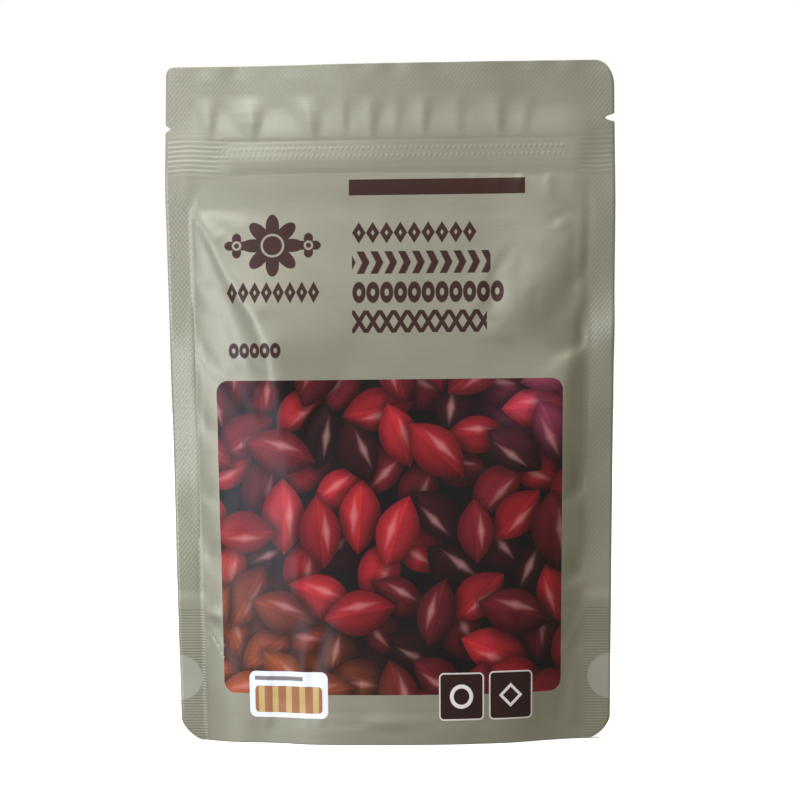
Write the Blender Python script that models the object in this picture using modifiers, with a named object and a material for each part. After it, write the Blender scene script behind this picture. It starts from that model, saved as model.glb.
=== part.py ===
"""A filled stand-up pouch of laminate film: front and back panels sealed round the edge, a folded
gusset that opens as its base, a press-to-close zip inside the mouth, and dried cranberries inside.

Metres, +Z up. The origin is on the surface that the pouch stands on, midway between its panels.
The front faces -Y. Film coordinates are "across" (-1 to 1, side edge to side edge) and a height.
"""

import math

import bmesh
import bpy

MM = 0.001

# The pouch as cut from the web, and how it stands when filled.
POUCH_WIDTH = 130 * MM
STANDING_HEIGHT = 195.3 * MM
SIDE_SEAL = 8 * MM
TOP_SEAL = 12.4 * MM
HALF_DEPTH = 15.4 * MM  # of the filled body at its base
NARROWING = 3.1 * MM  # each side seal is drawn in this far at the base by the filling
NARROWS_BELOW = 155 * MM
SKIRT = 3 * MM  # height of the upright edge that the pouch stands on

# The laminate. Neighbouring films keep a gap, which the seal's bond line fills on the real pouch.
FILM = 0.3 * MM
GAP = 0.3 * MM

# The gusset, folded in half. Its free part opens into a tunnel under the contents.
GUSSET_HEIGHT = 40 * MM
RIDGE_SAG = 4 * MM
SEAL_FOOT = 6 * MM  # height of the curved base seal at the middle, and then at the sides
SEAL_SHOULDER = 35 * MM
PUNCH_RADIUS = 6.5 * MM  # half-round spots where the panels are sealed through the gusset
PUNCH_HEIGHT = 18 * MM

# The zip: two extruded strips whose rib and groove press together.
ZIP_HEIGHT = 168.1 * MM
ZIP_FLANGE = 9.3 * MM
ZIP_LENGTH = 106 * MM
FLANGE_THICKNESS = 0.3 * MM
FLANGE_OFFSET = 0.8 * MM  # inner face of each flange, from the middle plane

# Puckers of the header, between the zip and the top seal.
PUCKER_DEPTH = 1.1 * MM
PUCKERS = 8

# Die-cut corners and the tear notches, which differ because the cut is never quite in register.
CORNER_RADIUS = {"top_left": 2.0 * MM, "top_right": 5.5 * MM, "base": 6.5 * MM}
NOTCH_HEIGHT = {"left": 177.2 * MM, "right": 178.6 * MM}
NOTCH_DEPTH = {"left": 1.5 * MM, "right": 2.7 * MM}
NOTCH_RADIUS = 1.1 * MM

# The contents.
FILL_TOP = 117 * MM
FILL_HALF_LENGTH = 45 * MM
FILL_CLEARANCE = 0.9 * MM
FILL_TOE = 0.35  # how far up the gusset's leg the fill begins, as a share
BERRY_PITCH = 11 * MM
BERRY_RELIEF = 1.2 * MM

# Rows of the film grids, as stretches of height (from, to, steps), and columns across.
PANEL_ROWS = (
    (0 * MM, SKIRT, 1),
    (SKIRT, 46 * MM, 6),
    (46 * MM, 154 * MM, 11),
    (154 * MM, 162.5 * MM, 1),
    (162.5 * MM, 164.1 * MM, 1),
    (164.1 * MM, 172.1 * MM, 1),
    (172.1 * MM, 173.7 * MM, 1),
    (173.7 * MM, 182.9 * MM, 4),
    (182.9 * MM, STANDING_HEIGHT, 1),
)
PANEL_COLUMNS = 34
SEAL_COLUMNS = 1  # of those, on each side
GUSSET_ROWS = 16
FILL_SECTIONS = 26
FILL_OUTER_POINTS = 13
FILL_INNER_POINTS = 5

# Colours are linear red, green, blue.
FILM_COLOUR = (0.40, 0.38, 0.30)
ZIP_COLOUR = (0.80, 0.80, 0.78)
FRUIT_COLOUR = (0.16, 0.012, 0.016)


def smooth(value, start, end):
    """0 at start and 1 at end, with no kink at either."""
    share = min(max((value - start) / (end - start), 0.0), 1.0)
    return share * share * (3 - 2 * share)


def half_width(height):
    """Side edge of the filled pouch: drawn in towards the base."""
    drawn = max(0.0, (NARROWS_BELOW - height) / NARROWS_BELOW)
    return POUCH_WIDTH / 2 - NARROWING * drawn


def seal_line(height):
    """Inner edge of a side seal."""
    return half_width(height) - SIDE_SEAL


def bulge(x, height):
    """How far the filling pushes a panel out: most at the base, nothing at the zip or the seals."""
    if height >= ZIP_HEIGHT or abs(x) >= seal_line(height):
        return 0.0
    up = max(height - SKIRT, 0.0) / (ZIP_HEIGHT - SKIRT)
    squareness = 2.7 - 0.6 * up  # the section is flatter in the middle near the base
    across = abs(x) / seal_line(height)
    return HALF_DEPTH * (1 - up**1.9) * (1 - across**squareness)


def gusset_layers(x, height):
    """Room that the gusset takes: up to its fold in the side seals, and to the base seal between."""
    in_side_seal = smooth(abs(x), seal_line(height) - 4 * MM, seal_line(height))
    top = max(base_seal_height(x), GUSSET_HEIGHT * in_side_seal)
    return (FILM + GAP) * (1 - smooth(height, top + 1 * MM, top + 6 * MM))


def zip_relief(x, height):
    """Room that the zip strips take between the panels, on one side of the middle plane."""
    room = FLANGE_OFFSET + FLANGE_THICKNESS + GAP - GAP / 2
    half_band = ZIP_FLANGE / 2
    off_band = abs(height - ZIP_HEIGHT) - half_band
    below = smooth(off_band, 14 * MM, 0.0) if height < ZIP_HEIGHT else smooth(off_band, 1.6 * MM, 0.0)
    return room * below * smooth(abs(x), ZIP_LENGTH / 2 + 2.4 * MM, ZIP_LENGTH / 2)


def pucker(x, height):
    """The header's upright folds, which the straight zip and the shrunken top seal leave."""
    low, high = ZIP_HEIGHT + ZIP_FLANGE / 2, STANDING_HEIGHT - TOP_SEAL
    if not low < height < high or abs(x) >= seal_line(height):
        return 0.0
    up = math.sin(math.pi * (height - low) / (high - low))
    wave = 0.5 + 0.5 * math.cos(2 * math.pi * PUCKERS * x / (2 * seal_line(height)))
    ends = smooth(abs(x), seal_line(height), seal_line(height) - 8 * MM)
    return PUCKER_DEPTH * (0.35 + wave) * up * ends


def panel_inside(x, height):
    """Distance of a panel's inner face from the middle plane."""
    return GAP / 2 + gusset_layers(x, height) + bulge(x, height) + zip_relief(x, height) + pucker(x, height)


def ridge_height(x):
    """The gusset's fold: held up at the side seals, sagging a little between them."""
    across = min(abs(x) / seal_line(0), 1.0)
    return GUSSET_HEIGHT - RIDGE_SAG * (1 - across**2)


def base_seal_height(x):
    """Upper edge of the curved seal that welds the gusset to a panel."""
    across = min(abs(x) / seal_line(0), 1.0)
    return SEAL_FOOT + (SEAL_SHOULDER - SEAL_FOOT) * across**4


def gusset_leg(x, to_fold):
    """Depth and height of the gusset's free part at x: to_fold is 0 at the base seal and 1 at the fold."""
    closed = GAP / 2 + FILM
    seal_top = base_seal_height(x)
    foot = max(panel_inside(x, seal_top) - GAP, closed)
    slackness = 0.15 * smooth(foot, closed, 4 * MM)
    rise = 1 - (1 - to_fold) ** (1 - slackness)
    height = seal_top + (ridge_height(x) - seal_top) * rise
    depth = closed + (foot - closed) * (1 - to_fold)
    return depth * (1 - smooth(to_fold, 0.88, 1.0)), height


def gusset_point(across, leaf):
    """A point of the gusset's upper face: leaf is -1 at the front base edge, 0 at the fold, 1 at the back."""
    base_x = film_x(across, 0.0)
    flat_height = (1 - abs(leaf)) * GUSSET_HEIGHT
    seal_top = base_seal_height(base_x)
    if flat_height <= seal_top:
        height = flat_height
        depth = panel_inside(film_x(across, height), height) - GAP
    else:
        depth, height = gusset_leg(base_x, (flat_height - seal_top) / (GUSSET_HEIGHT - seal_top))
    return film_x(across, height), math.copysign(depth, leaf) if leaf else 0.0, height


def film_x(across, height):
    """X of a film column: even over the body, with columns of their own in each side seal."""
    body = 1 - 2 * SEAL_COLUMNS / PANEL_COLUMNS
    if abs(across) <= body:
        return across / body * seal_line(height)
    into_seal = (abs(across) - body) / (1 - body)
    return math.copysign(seal_line(height) + into_seal * SIDE_SEAL, across)


def row_heights(stretches):
    """The height of every row, from stretches of (from, to, steps)."""
    heights = [stretches[0][0]]
    for low, high, steps in stretches:
        heights += [low + (high - low) * (step + 1) / steps for step in range(steps)]
    return heights


def material(name, colour, roughness, metallic=0.0):
    made = bpy.data.materials.new(name)
    made.use_nodes = True
    shader = made.node_tree.nodes["Principled BSDF"]
    shader.inputs["Base Color"].default_value = (*colour, 1)
    shader.inputs["Roughness"].default_value = roughness
    shader.inputs["Metallic"].default_value = metallic
    return made


def grid_object(name, columns, rows, place, collection):
    """A grid of the given segments, each vertex moved to place(column share, row share), both 0 to 1."""
    shape = bmesh.new()
    bmesh.ops.create_grid(shape, x_segments=columns, y_segments=rows, size=0.5)
    for vertex in shape.verts:
        vertex.co = place(vertex.co.x + 0.5, vertex.co.y + 0.5)
    mesh = bpy.data.meshes.new(name)
    shape.to_mesh(mesh)
    shape.free()
    return linked(name, mesh, collection)


def linked(name, data, collection):
    made = bpy.data.objects.new(name, data)
    collection.objects.link(made)
    return made


def outline_object(name, points, half_length, rotation, collection):
    """A flat outline extruded both ways by half_length."""
    curve = bpy.data.curves.new(name, "CURVE")
    curve.dimensions = "2D"
    curve.fill_mode = "BOTH"
    curve.extrude = half_length
    spline = curve.splines.new("POLY")
    spline.points.add(len(points) - 1)
    for point, (u, v) in zip(spline.points, points):
        point.co = (u, v, 0, 1)
    spline.use_cyclic_u = True
    made = linked(name, curve, collection)
    made.rotation_euler = rotation
    return made


def as_cutter(outline):
    """The outline object made one closed mesh, so that a Boolean can use it."""
    bpy.context.view_layer.update()
    graph = bpy.context.evaluated_depsgraph_get()
    mesh = bpy.data.meshes.new_from_object(outline.evaluated_get(graph))
    shape = bmesh.new()
    shape.from_mesh(mesh)
    bmesh.ops.remove_doubles(shape, verts=shape.verts, dist=1e-6)
    bmesh.ops.recalc_face_normals(shape, faces=shape.faces)
    shape.to_mesh(mesh)
    shape.free()
    name, world = outline.name, outline.matrix_world.copy()
    cutters = outline.users_collection[0]
    bpy.data.objects.remove(outline)
    cutter = linked(name, mesh, cutters)
    cutter.matrix_world = world
    cutter.display_type = "WIRE"
    cutter.hide_render = True
    return cutter


def corner_cutter(name, side, up, corner_height, radius, cutters):
    """What a corner die removes: the square outside a quarter circle. side and up are -1 or 1."""
    margin = 2 * MM
    centre_x = side * (half_width(corner_height) - radius)
    centre_z = corner_height - up * radius
    turns = [math.radians(90 * step / 6) for step in range(7)]
    arc = [(centre_x + side * radius * math.cos(t), centre_z + up * radius * math.sin(t)) for t in turns]
    far_x, far_z = centre_x + side * (radius + margin), centre_z + up * (radius + margin)
    points = arc + [(centre_x, far_z), (far_x, far_z), (far_x, centre_z)]
    return as_cutter(outline_object(name, points, 9 * MM, (math.radians(90), 0, 0), cutters))


def notch_cutter(name, side, height, depth, cutters):
    """A tear notch: a round-bottomed slot, cut in from the side edge."""
    tip = side * (half_width(height) - depth + NOTCH_RADIUS)
    mouth = side * (half_width(height) + 2 * MM)
    turns = [math.radians(90 + 180 * step / 8) for step in range(9)]
    arc = [(tip + side * NOTCH_RADIUS * math.cos(t), height + NOTCH_RADIUS * math.sin(t)) for t in turns]
    points = arc + [(mouth, height - NOTCH_RADIUS), (mouth, height + NOTCH_RADIUS)]
    return as_cutter(outline_object(name, points, 9 * MM, (math.radians(90), 0, 0), cutters))


def punch_cutter(name, side, cutters):
    """The half-round spot punched from each side of the gusset before it is folded in."""
    centre = side * half_width(PUNCH_HEIGHT)
    turns = [math.tau * step / 20 for step in range(20)]
    points = [
        (centre + PUNCH_RADIUS * math.cos(t), PUNCH_HEIGHT + PUNCH_RADIUS * math.sin(t)) for t in turns
    ]
    return as_cutter(outline_object(name, points, 9 * MM, (math.radians(90), 0, 0), cutters))


def cut_by(piece, cutters):
    boolean = piece.modifiers.new("die cut", "BOOLEAN")
    boolean.operation = "DIFFERENCE"
    boolean.operand_type = "COLLECTION"
    boolean.collection = cutters
    boolean.solver = "EXACT"


def film_thickness(piece, outwards):
    wall = piece.modifiers.new("film", "SOLIDIFY")
    wall.thickness = FILM
    wall.offset = outwards
    wall.use_even_offset = False


def panel(name, side, cutters, collection):
    """The front (side -1) or back (side 1) panel."""
    heights = row_heights(PANEL_ROWS)

    def place(column, row):
        height = heights[round(row * (len(heights) - 1))]
        x = film_x(2 * column - 1, height)
        return x, side * panel_inside(x, height), height

    piece = grid_object(name, PANEL_COLUMNS, len(heights) - 1, place, collection)
    if side > 0:
        piece.data.flip_normals()
    film_thickness(piece, 1)
    cut_by(piece, cutters)
    return piece


def base_gusset(cutters, collection):
    """The gusset: one film, welded to both panels by its curved seal and folded up between them."""

    def place(column, row):
        return gusset_point(2 * column - 1, 2 * row - 1)

    piece = grid_object("base_gusset", PANEL_COLUMNS, GUSSET_ROWS, place, collection)
    film_thickness(piece, -1)
    cut_by(piece, cutters)
    return piece


def zip_strip(name, side, profile, collection):
    """A zip strip: its profile, in distance from the middle plane and height, drawn out across the pouch."""
    back = side * FLANGE_OFFSET
    face = side * (FLANGE_OFFSET + FLANGE_THICKNESS)
    half_flange = ZIP_FLANGE / 2
    points = [(face, -half_flange), (face, half_flange), (back, half_flange), *profile, (back, -half_flange)]
    if side > 0:
        points.reverse()
    turned = (math.radians(90), 0, math.radians(90))
    strip = outline_object(name, points, ZIP_LENGTH / 2, turned, collection)
    strip.location = (0, 0, ZIP_HEIGHT)
    return strip


def zip_rib_strip(collection):
    """The back strip: an arrow-headed rib on a flange."""
    back, neck, shoulder, tip = FLANGE_OFFSET, -0.1 * MM, -0.1 * MM, -0.45 * MM
    stem, head = 0.25 * MM, 0.5 * MM
    upper = [(back, stem), (neck, stem), (shoulder, head), (tip, head / 2)]
    lower = [(y, -z) for y, z in reversed(upper)]
    return zip_strip("zip_rib_strip", 1, upper + lower, collection)


def zip_groove_strip(collection):
    """The front strip: a flange with two hooked jaws that close round the rib."""
    back, hook_start, tip = -FLANGE_OFFSET, 0.15 * MM, 0.5 * MM
    outer, inner, lip = 1.15 * MM, 0.75 * MM, 0.45 * MM
    upper = [(back, outer), (tip, outer), (tip, lip), (hook_start, lip), (hook_start, inner), (back, inner)]
    lower = [(y, -z) for y, z in reversed(upper)]
    return zip_strip("zip_groove_strip", -1, upper + lower, collection)


def berry_relief(x, height):
    """Lumps a berry across, in staggered rows, that only sink into the fill."""
    row = height / BERRY_PITCH
    shift = 0.5 * math.sin(math.pi * row)
    lump = math.cos(math.tau * (x / BERRY_PITCH + shift)) * math.cos(math.tau * row)
    return BERRY_RELIEF * 0.5 * (1 - lump)


def fill_section(x):
    """The front half of the fill's section at x: down the panel from the top, then up the gusset's leg."""
    ends = smooth(abs(x), FILL_HALF_LENGTH - 18 * MM, FILL_HALF_LENGTH + 6 * MM)
    top = FILL_TOP - 26 * MM * ends
    wall_top = top - 9 * MM
    steps = [FILL_TOE + (1 - FILL_TOE) * step / FILL_INNER_POINTS for step in range(FILL_INNER_POINTS)]
    leg = [gusset_leg(x, to_fold) for to_fold in steps]
    toe = leg[0][1]

    def wall(height):
        room = panel_inside(x, height) - FILL_CLEARANCE
        return max(room - berry_relief(x, height), 0.45 * room)

    points = [(0.0, top), (0.55 * wall(wall_top), top - 2.5 * MM)]
    for step in range(FILL_OUTER_POINTS):
        height = wall_top + (toe - wall_top) * step / (FILL_OUTER_POINTS - 1)
        points.append((wall(height), height))
    points += [(depth + FILL_CLEARANCE, height + FILL_CLEARANCE) for depth, height in leg]
    points.append((0.0, ridge_height(x) + 2 * FILL_CLEARANCE))
    return points


def dried_cranberries(collection):
    """The contents, one lumpy body: a half drawn through its sections, capped, and mirrored."""
    count = len(fill_section(0.0))

    def place(column, row):
        x = (2 * column - 1) * FILL_HALF_LENGTH
        depth, height = fill_section(x)[round(row * (count - 1))]
        return x, -depth, height

    piece = grid_object("dried_cranberries", FILL_SECTIONS, count - 1, place, collection)
    shape = bmesh.new()
    shape.from_mesh(piece.data)
    at_ends = [edge for edge in shape.edges if edge.is_boundary and all(
        abs(abs(vertex.co.x) - FILL_HALF_LENGTH) < 1e-6 for vertex in edge.verts
    )]
    for side in (-1, 1):
        rim = [edge for edge in at_ends if side * edge.verts[0].co.x > 0]
        bmesh.ops.contextual_create(shape, geom=rim)
    bmesh.ops.recalc_face_normals(shape, faces=shape.faces)
    shape.to_mesh(piece.data)
    shape.free()
    mirror = piece.modifiers.new("back half", "MIRROR")
    mirror.use_axis = (False, True, False)
    mirror.merge_threshold = 1e-6
    return piece


def finish(piece, surface):
    """Gives a piece its material and smooth shading."""
    piece.data.materials.append(surface)
    if piece.type == "MESH":
        piece.data.shade_smooth()
        piece.data.set_sharp_from_angle(angle=math.radians(35))


def main():
    for old in list(bpy.data.objects):
        bpy.data.objects.remove(old)
    scene = bpy.context.scene.collection
    pouch = bpy.data.collections.new("stand_up_pouch")
    panel_dies = bpy.data.collections.new("panel_dies")
    gusset_dies = bpy.data.collections.new("gusset_dies")
    for collection in (pouch, panel_dies, gusset_dies):
        scene.children.link(collection)

    corner_cutter("top_left_die", -1, 1, STANDING_HEIGHT, CORNER_RADIUS["top_left"], panel_dies)
    corner_cutter("top_right_die", 1, 1, STANDING_HEIGHT, CORNER_RADIUS["top_right"], panel_dies)
    for name, side in (("left", -1), ("right", 1)):
        corner_cutter(f"base_{name}_die", side, -1, 0.0, CORNER_RADIUS["base"], panel_dies)
        corner_cutter(f"gusset_{name}_die", side, -1, 0.0, CORNER_RADIUS["base"], gusset_dies)
        notch_cutter(f"notch_{name}_die", side, NOTCH_HEIGHT[name], NOTCH_DEPTH[name], panel_dies)
        punch_cutter(f"punch_{name}_die", side, gusset_dies)

    film = material("champagne_film", FILM_COLOUR, 0.42, 0.25)
    strip = material("zip_polyethylene", ZIP_COLOUR, 0.35)
    fruit = material("dried_fruit", FRUIT_COLOUR, 0.45)
    finish(panel("front_panel", -1, panel_dies, pouch), film)
    finish(panel("back_panel", 1, panel_dies, pouch), film)
    finish(base_gusset(gusset_dies, pouch), film)
    finish(zip_rib_strip(pouch), strip)
    finish(zip_groove_strip(pouch), strip)
    finish(dried_cranberries(pouch), fruit)


main()
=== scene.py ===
"""A filled stand-up pouch of matte champagne laminate on a pale studio floor.

The front and back panels and the base gusset are fine sheets of film over the frame's solids. Each panel
starts from the pouch's form, settles as a slack sheet under the filling's pressure, and then takes
its creases, puckers and seams; the gusset folds from the form, with its seals and a slight buckle. Lengths
are in millimetres unless a name or a comment says metres.
"""

import logging
import math
from dataclasses import dataclass
from enum import Enum

import bmesh
import bpy
import numpy as np
from mathutils import Matrix, Vector, noise


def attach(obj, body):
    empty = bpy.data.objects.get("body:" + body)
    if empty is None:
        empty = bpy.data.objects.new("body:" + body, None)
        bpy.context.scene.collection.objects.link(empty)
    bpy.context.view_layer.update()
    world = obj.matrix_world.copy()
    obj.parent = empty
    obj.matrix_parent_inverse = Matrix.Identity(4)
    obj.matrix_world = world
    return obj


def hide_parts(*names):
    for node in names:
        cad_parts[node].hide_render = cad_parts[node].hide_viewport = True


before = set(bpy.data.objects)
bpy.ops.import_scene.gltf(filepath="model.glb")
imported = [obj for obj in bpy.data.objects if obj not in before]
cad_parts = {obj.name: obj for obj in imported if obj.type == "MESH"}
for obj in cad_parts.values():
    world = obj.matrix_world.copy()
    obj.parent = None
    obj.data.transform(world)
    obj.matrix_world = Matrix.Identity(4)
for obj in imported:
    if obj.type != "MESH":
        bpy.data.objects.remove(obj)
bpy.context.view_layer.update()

log = logging.getLogger("pouch")

MM = 0.001
TURN = 2 * math.pi
BODY = "root"


def linear(hex_colour: str) -> tuple[float, float, float, float]:
    """Turns an sRGB hex colour into linear red, green, blue and alpha.

    Args:
        hex_colour: Six hex digits, with or without a leading #.

    Returns:
        The colour's linear channels and an alpha of 1.
    """
    digits = hex_colour.lstrip("#")
    channels = [int(digits[at : at + 2], 16) / 255 for at in (0, 2, 4)]
    red, green, blue = (c / 12.92 if c <= 0.04045 else ((c + 0.055) / 1.055) ** 2.4 for c in channels)
    return red, green, blue, 1.0


def ease(value: np.ndarray, start: float, end: float) -> np.ndarray:
    """Rises from 0 at start to 1 at end, with no kink at either.

    Args:
        value: Where to read the rise.
        start: Value at which it is 0.
        end: Value at which it is 1.

    Returns:
        The rise, of the value's shape.
    """
    share = np.clip((value - start) / (end - start), 0.0, 1.0)
    return share * share * (3 - 2 * share)


class Side(Enum):
    """Which panel: its outward direction along Y."""

    FRONT = -1
    BACK = 1


@dataclass(frozen=True)
class PouchForm:
    """The filled pouch's form, without its creases: the sizes that the frame's solids have too."""

    width: float = 130.0
    height: float = 195.3
    side_seal: float = 8.0
    top_seal: float = 12.4
    half_depth: float = 15.4
    narrowing: float = 3.1
    narrows_below: float = 155.0
    skirt: float = 3.0
    layer: float = 0.45  # one film
    film_out: float = 0.45  # outer face of a flat panel, from the middle plane
    gusset_height: float = 40.0
    ridge_sag: float = 4.0
    seal_foot: float = 6.0
    seal_shoulder: float = 35.0
    punch_radius: float = 6.5
    punch_height: float = 18.0
    zip_height: float = 168.1
    swell_top: float = 164.0  # where the filling's swell ends, under the zip
    zip_flange: float = 9.3
    zip_length: float = 106.0
    zip_room: float = 1.0
    zip_bow: float = 0.25  # how much further the filling's swell bows the zip out between its ends
    corner_top_left: float = 2.0
    corner_top_right: float = 5.5
    corner_tall: float = 1.35  # height of the top corners, against their width
    corner_base: float = 6.5
    corner_bluntness: float = 1.6  # 2 is round, and 1 a straight cut
    left_lean: float = 0.15  # slope by which the upper left leans back
    lean_from: float = 163.0  # height at which it starts to
    lean_across: tuple[float, float] = (5.0, -50.0)  # X between which the lean grows
    right_swing: float = 3.3  # how far the right border swings forward
    swing_across: tuple[float, float] = (27.0, 57.0)  # X between which the swing grows
    swing_rise: tuple[float, float] = (60.0, 134.0)  # heights between which it grows
    swing_fall: tuple[float, float] = (140.0, 194.0)  # and between which it dies away
    curl: float = 0.18  # slope of a side seal that curls
    left_curl: tuple[float, float, float, float] = (68.0, 82.0, 108.0, 124.0)  # starts, full, until, ends
    right_curl: tuple[float, float, float] = (118.0, 8.0, -1.8)  # height, half width and strength

    @property
    def body_half(self) -> float:
        """Flat film from the middle to a side seal."""
        return self.width / 2 - self.side_seal

    def half_width(self, z: np.ndarray) -> np.ndarray:
        """Side edge at a height, drawn in towards the base."""
        return self.width / 2 - self.narrowing * np.maximum(0.0, 1 - z / self.narrows_below)

    def seal_line(self, z: np.ndarray) -> np.ndarray:
        """Inner edge of a side seal at a height."""
        return self.half_width(z) - self.side_seal

    def across(self, u: np.ndarray, z: np.ndarray) -> np.ndarray:
        """X of a film point: the body's film narrows with the pouch, and the seals only shift.

        Args:
            u: Place across the flat film, from its centre line.
            z: Height.

        Returns:
            X.
        """
        line = self.seal_line(z)
        in_seal = np.sign(u) * (line + np.abs(u) - self.body_half)
        return np.where(np.abs(u) <= self.body_half, u / self.body_half * line, in_seal)

    def middle_depth(self, z: np.ndarray) -> np.ndarray:
        """How far the filling pushes the middle of a panel out: most at the base, nothing at the zip."""
        up = np.clip((z - self.skirt) / (self.swell_top - self.skirt), 0.0, 1.0)
        return self.half_depth * (1 - up**1.9)

    def base_seal(self, x: np.ndarray) -> np.ndarray:
        """Upper edge of the curved seal between the gusset and a panel."""
        share = np.minimum(np.abs(x) / self.seal_line(np.zeros(1)), 1.0)
        return self.seal_foot + (self.seal_shoulder - self.seal_foot) * share**4

    def gusset_room(self, x: np.ndarray, z: np.ndarray) -> np.ndarray:
        """Finds the room the gusset takes: up to its fold in the side seals, and to the base seal between.

        Args:
            x: Place across.
            z: Height.

        Returns:
            How far it holds a panel out.
        """
        line = self.seal_line(z)
        in_side_seal = ease(np.abs(x) - line, -4.0, 0.0)
        top = np.maximum(self.base_seal(x), self.gusset_height * in_side_seal)
        return self.layer * (1 - ease(z - top, 0.3, 3.3))

    def zip_lift(self, x: np.ndarray, z: np.ndarray) -> np.ndarray:
        """Finds the room the zip takes under a panel.

        Args:
            x: Place across.
            z: Height.

        Returns:
            How far it holds a panel out.
        """
        off = np.abs(z - self.zip_height) - self.zip_flange / 2
        fall = np.where(z < self.zip_height, 1 - ease(off, 0.0, 14.0), 1 - ease(off, 0.3, 11.0))
        past_end = np.abs(x) - self.zip_length / 2
        bow = self.zip_bow * np.maximum(0.0, 1 - (x / (self.zip_length / 2 + 2.0)) ** 2)
        room = 1 - 0.65 * ease(past_end, 0.0, 8.0) - 0.35 * ease(past_end, 4.0, 13.0)
        return fall * (self.zip_room * room + bow)

    def layers(self, x: np.ndarray, z: np.ndarray) -> np.ndarray:
        """Outer face of an empty panel, over the gusset and the zip, from the middle plane."""
        return self.film_out + self.gusset_room(x, z) + self.zip_lift(x, z)

    def ridge(self, x: np.ndarray) -> np.ndarray:
        """Height of the gusset's fold."""
        share = np.minimum(np.abs(x) / self.seal_line(np.zeros(1)), 1.0)
        return self.gusset_height - self.ridge_sag * (1 - share**2)

    def seal_curl(self, x: np.ndarray, z: np.ndarray) -> np.ndarray:
        """Curls the side seals along their outer edges.

        Args:
            x: Place across.
            z: Height.

        Returns:
            How far a seal curls to the back.
        """
        start, full, until, end = self.left_curl
        left = ease(z, start, full) * (1 - ease(z, until, end))
        height, half, strength = self.right_curl
        right = strength * np.exp(-(((z - height) / half) ** 2))
        return self.curl * np.where(x < 0, left, right) * np.maximum(np.abs(x) - self.seal_line(z), 0.0)

    def sway(self, x: np.ndarray, z: np.ndarray) -> np.ndarray:
        """Leans the upper left back and swings the right border forward.

        Args:
            x: Place across.
            z: Height.

        Returns:
            How far the whole pouch moves to the back.
        """
        past = np.logaddexp(0.0, (z - self.lean_from) / 2.0) * 2.0
        lean = self.left_lean * past * ease(-x, *(-place for place in self.lean_across))
        swing = self.right_swing * ease(x, *self.swing_across)
        return lean - swing * ease(z, *self.swing_rise) * (1 - ease(z, *self.swing_fall))

    def seal_wave(self, x: np.ndarray, z: np.ndarray) -> np.ndarray:
        """Slow waves of the welded border, along +Y, which both panels and the gusset share.

        Args:
            x: Place across.
            z: Height.

        Returns:
            How far the border swings to the back.
        """
        in_top = ease(z, self.height - self.top_seal - 9.0, self.height - 3.0)
        in_side = ease(np.abs(x) - self.seal_line(z), -3.0, 3.0) * ease(z, 2.0, 30.0)
        at_cut = ease(z, self.height - 5.0, self.height)
        top = 0.2 * np.sin(0.145 * x + 0.6) + 0.12 * np.sin(0.31 * x + 2.0)
        top = top + 0.2 * np.sin(0.42 * x + 1.6 * np.sin(0.13 * x)) * at_cut
        side = 0.4 * np.sin(0.105 * z + np.where(x > 0, 1.2, 0.0)) + 0.22 * np.sin(0.23 * z + np.sign(x))
        side = side + self.seal_curl(x, z)
        return top * in_top + side * in_side * (1 - in_top) + self.sway(x, z)

    def base_corner(self, z: np.ndarray) -> np.ndarray:
        """How far in the die cuts at a lower corner, at a height."""
        share = np.clip(self.corner_base - z, 0.0, self.corner_base) / self.corner_base
        return self.corner_base * (1 - (1 - share**self.corner_bluntness) ** (1 / self.corner_bluntness))

    def trimmed(self, u: np.ndarray, sign: int, cut: np.ndarray) -> np.ndarray:
        """Draws one side's border in to the die's cut.

        Args:
            u: Place across the flat film.
            sign: -1 for the left border and 1 for the right.
            cut: How far in the die cuts.

        Returns:
            The place across, which is unchanged inside the side seal.
        """
        room = (self.side_seal - cut) / self.side_seal
        drawn_in = sign * (self.body_half + (sign * u - self.body_half) * room)
        return np.where(sign * u > self.body_half, drawn_in, u)


@dataclass(frozen=True)
class Shoulder:
    """A side slope of the filled body, which meets its middle in a ridge."""

    side: int  # -1 for the panel's left, seen from the front, and 1 for its right
    ridge: tuple[float, ...]  # how far the ridge stands from the centre line, at each 10 mm of height
    softness: tuple[float, ...]  # radius-like width of the ridge, at the same heights
    steepest: float = 0.75
    foot: float = 0.0  # how much steeper its foot and its top are than its middle, as a share
    reach: float = 0.0  # how far into the border it starts, where the weld is narrower

    def read(self, values: tuple[float, ...], z: np.ndarray) -> np.ndarray:
        """Reads one of the rows of values at every height, by a smooth curve."""
        line = np.arange(len(values)) * 10.0
        return (interpolation(line, z.ravel()) @ np.array(values)).reshape(z.shape)

    def slope(self, form: PouchForm, u: np.ndarray, z: np.ndarray) -> np.ndarray:
        """Depth of the side slope, from nothing at the seal.

        Args:
            form: The pouch's form.
            u: Place across the flat film.
            z: Height.

        Returns:
            The outward depth.
        """
        middle = form.middle_depth(z)
        start = form.body_half + self.reach
        run = np.maximum(start - self.read(self.ridge, z), np.maximum(middle / self.steepest, 1.0))
        share = np.maximum(start - self.side * u, 0.0) / run
        wave = np.where(share < 1.0, np.sin(TURN * share), 0.0) / TURN
        return middle * (share + self.foot * wave)


@dataclass(frozen=True)
class Crown:
    """An upper corner of the filling beside a side seal, above which the film lies flatter."""

    side: int
    height: float
    drop: float  # how much its edge falls for each millimetre away from the seal
    flat: float  # slope of the film above it, away from the seal
    steep: float  # slope of the film below it, down the corner
    softness: float

    def limit(self, form: PouchForm, u: np.ndarray, z: np.ndarray) -> np.ndarray:
        """Finds the depth that the film keeps under.

        Args:
            form: The pouch's form.
            u: Place across the flat film.
            z: Height.

        Returns:
            The most that the film stands out.
        """
        away = np.maximum(form.body_half - self.side * u, 0.0)
        under = (self.height - self.drop * away - z) / self.softness
        below = self.softness * np.logaddexp(0.0, under)
        return 0.1 + self.flat * away * away / (away + 5.0) + self.steep * below


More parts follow.
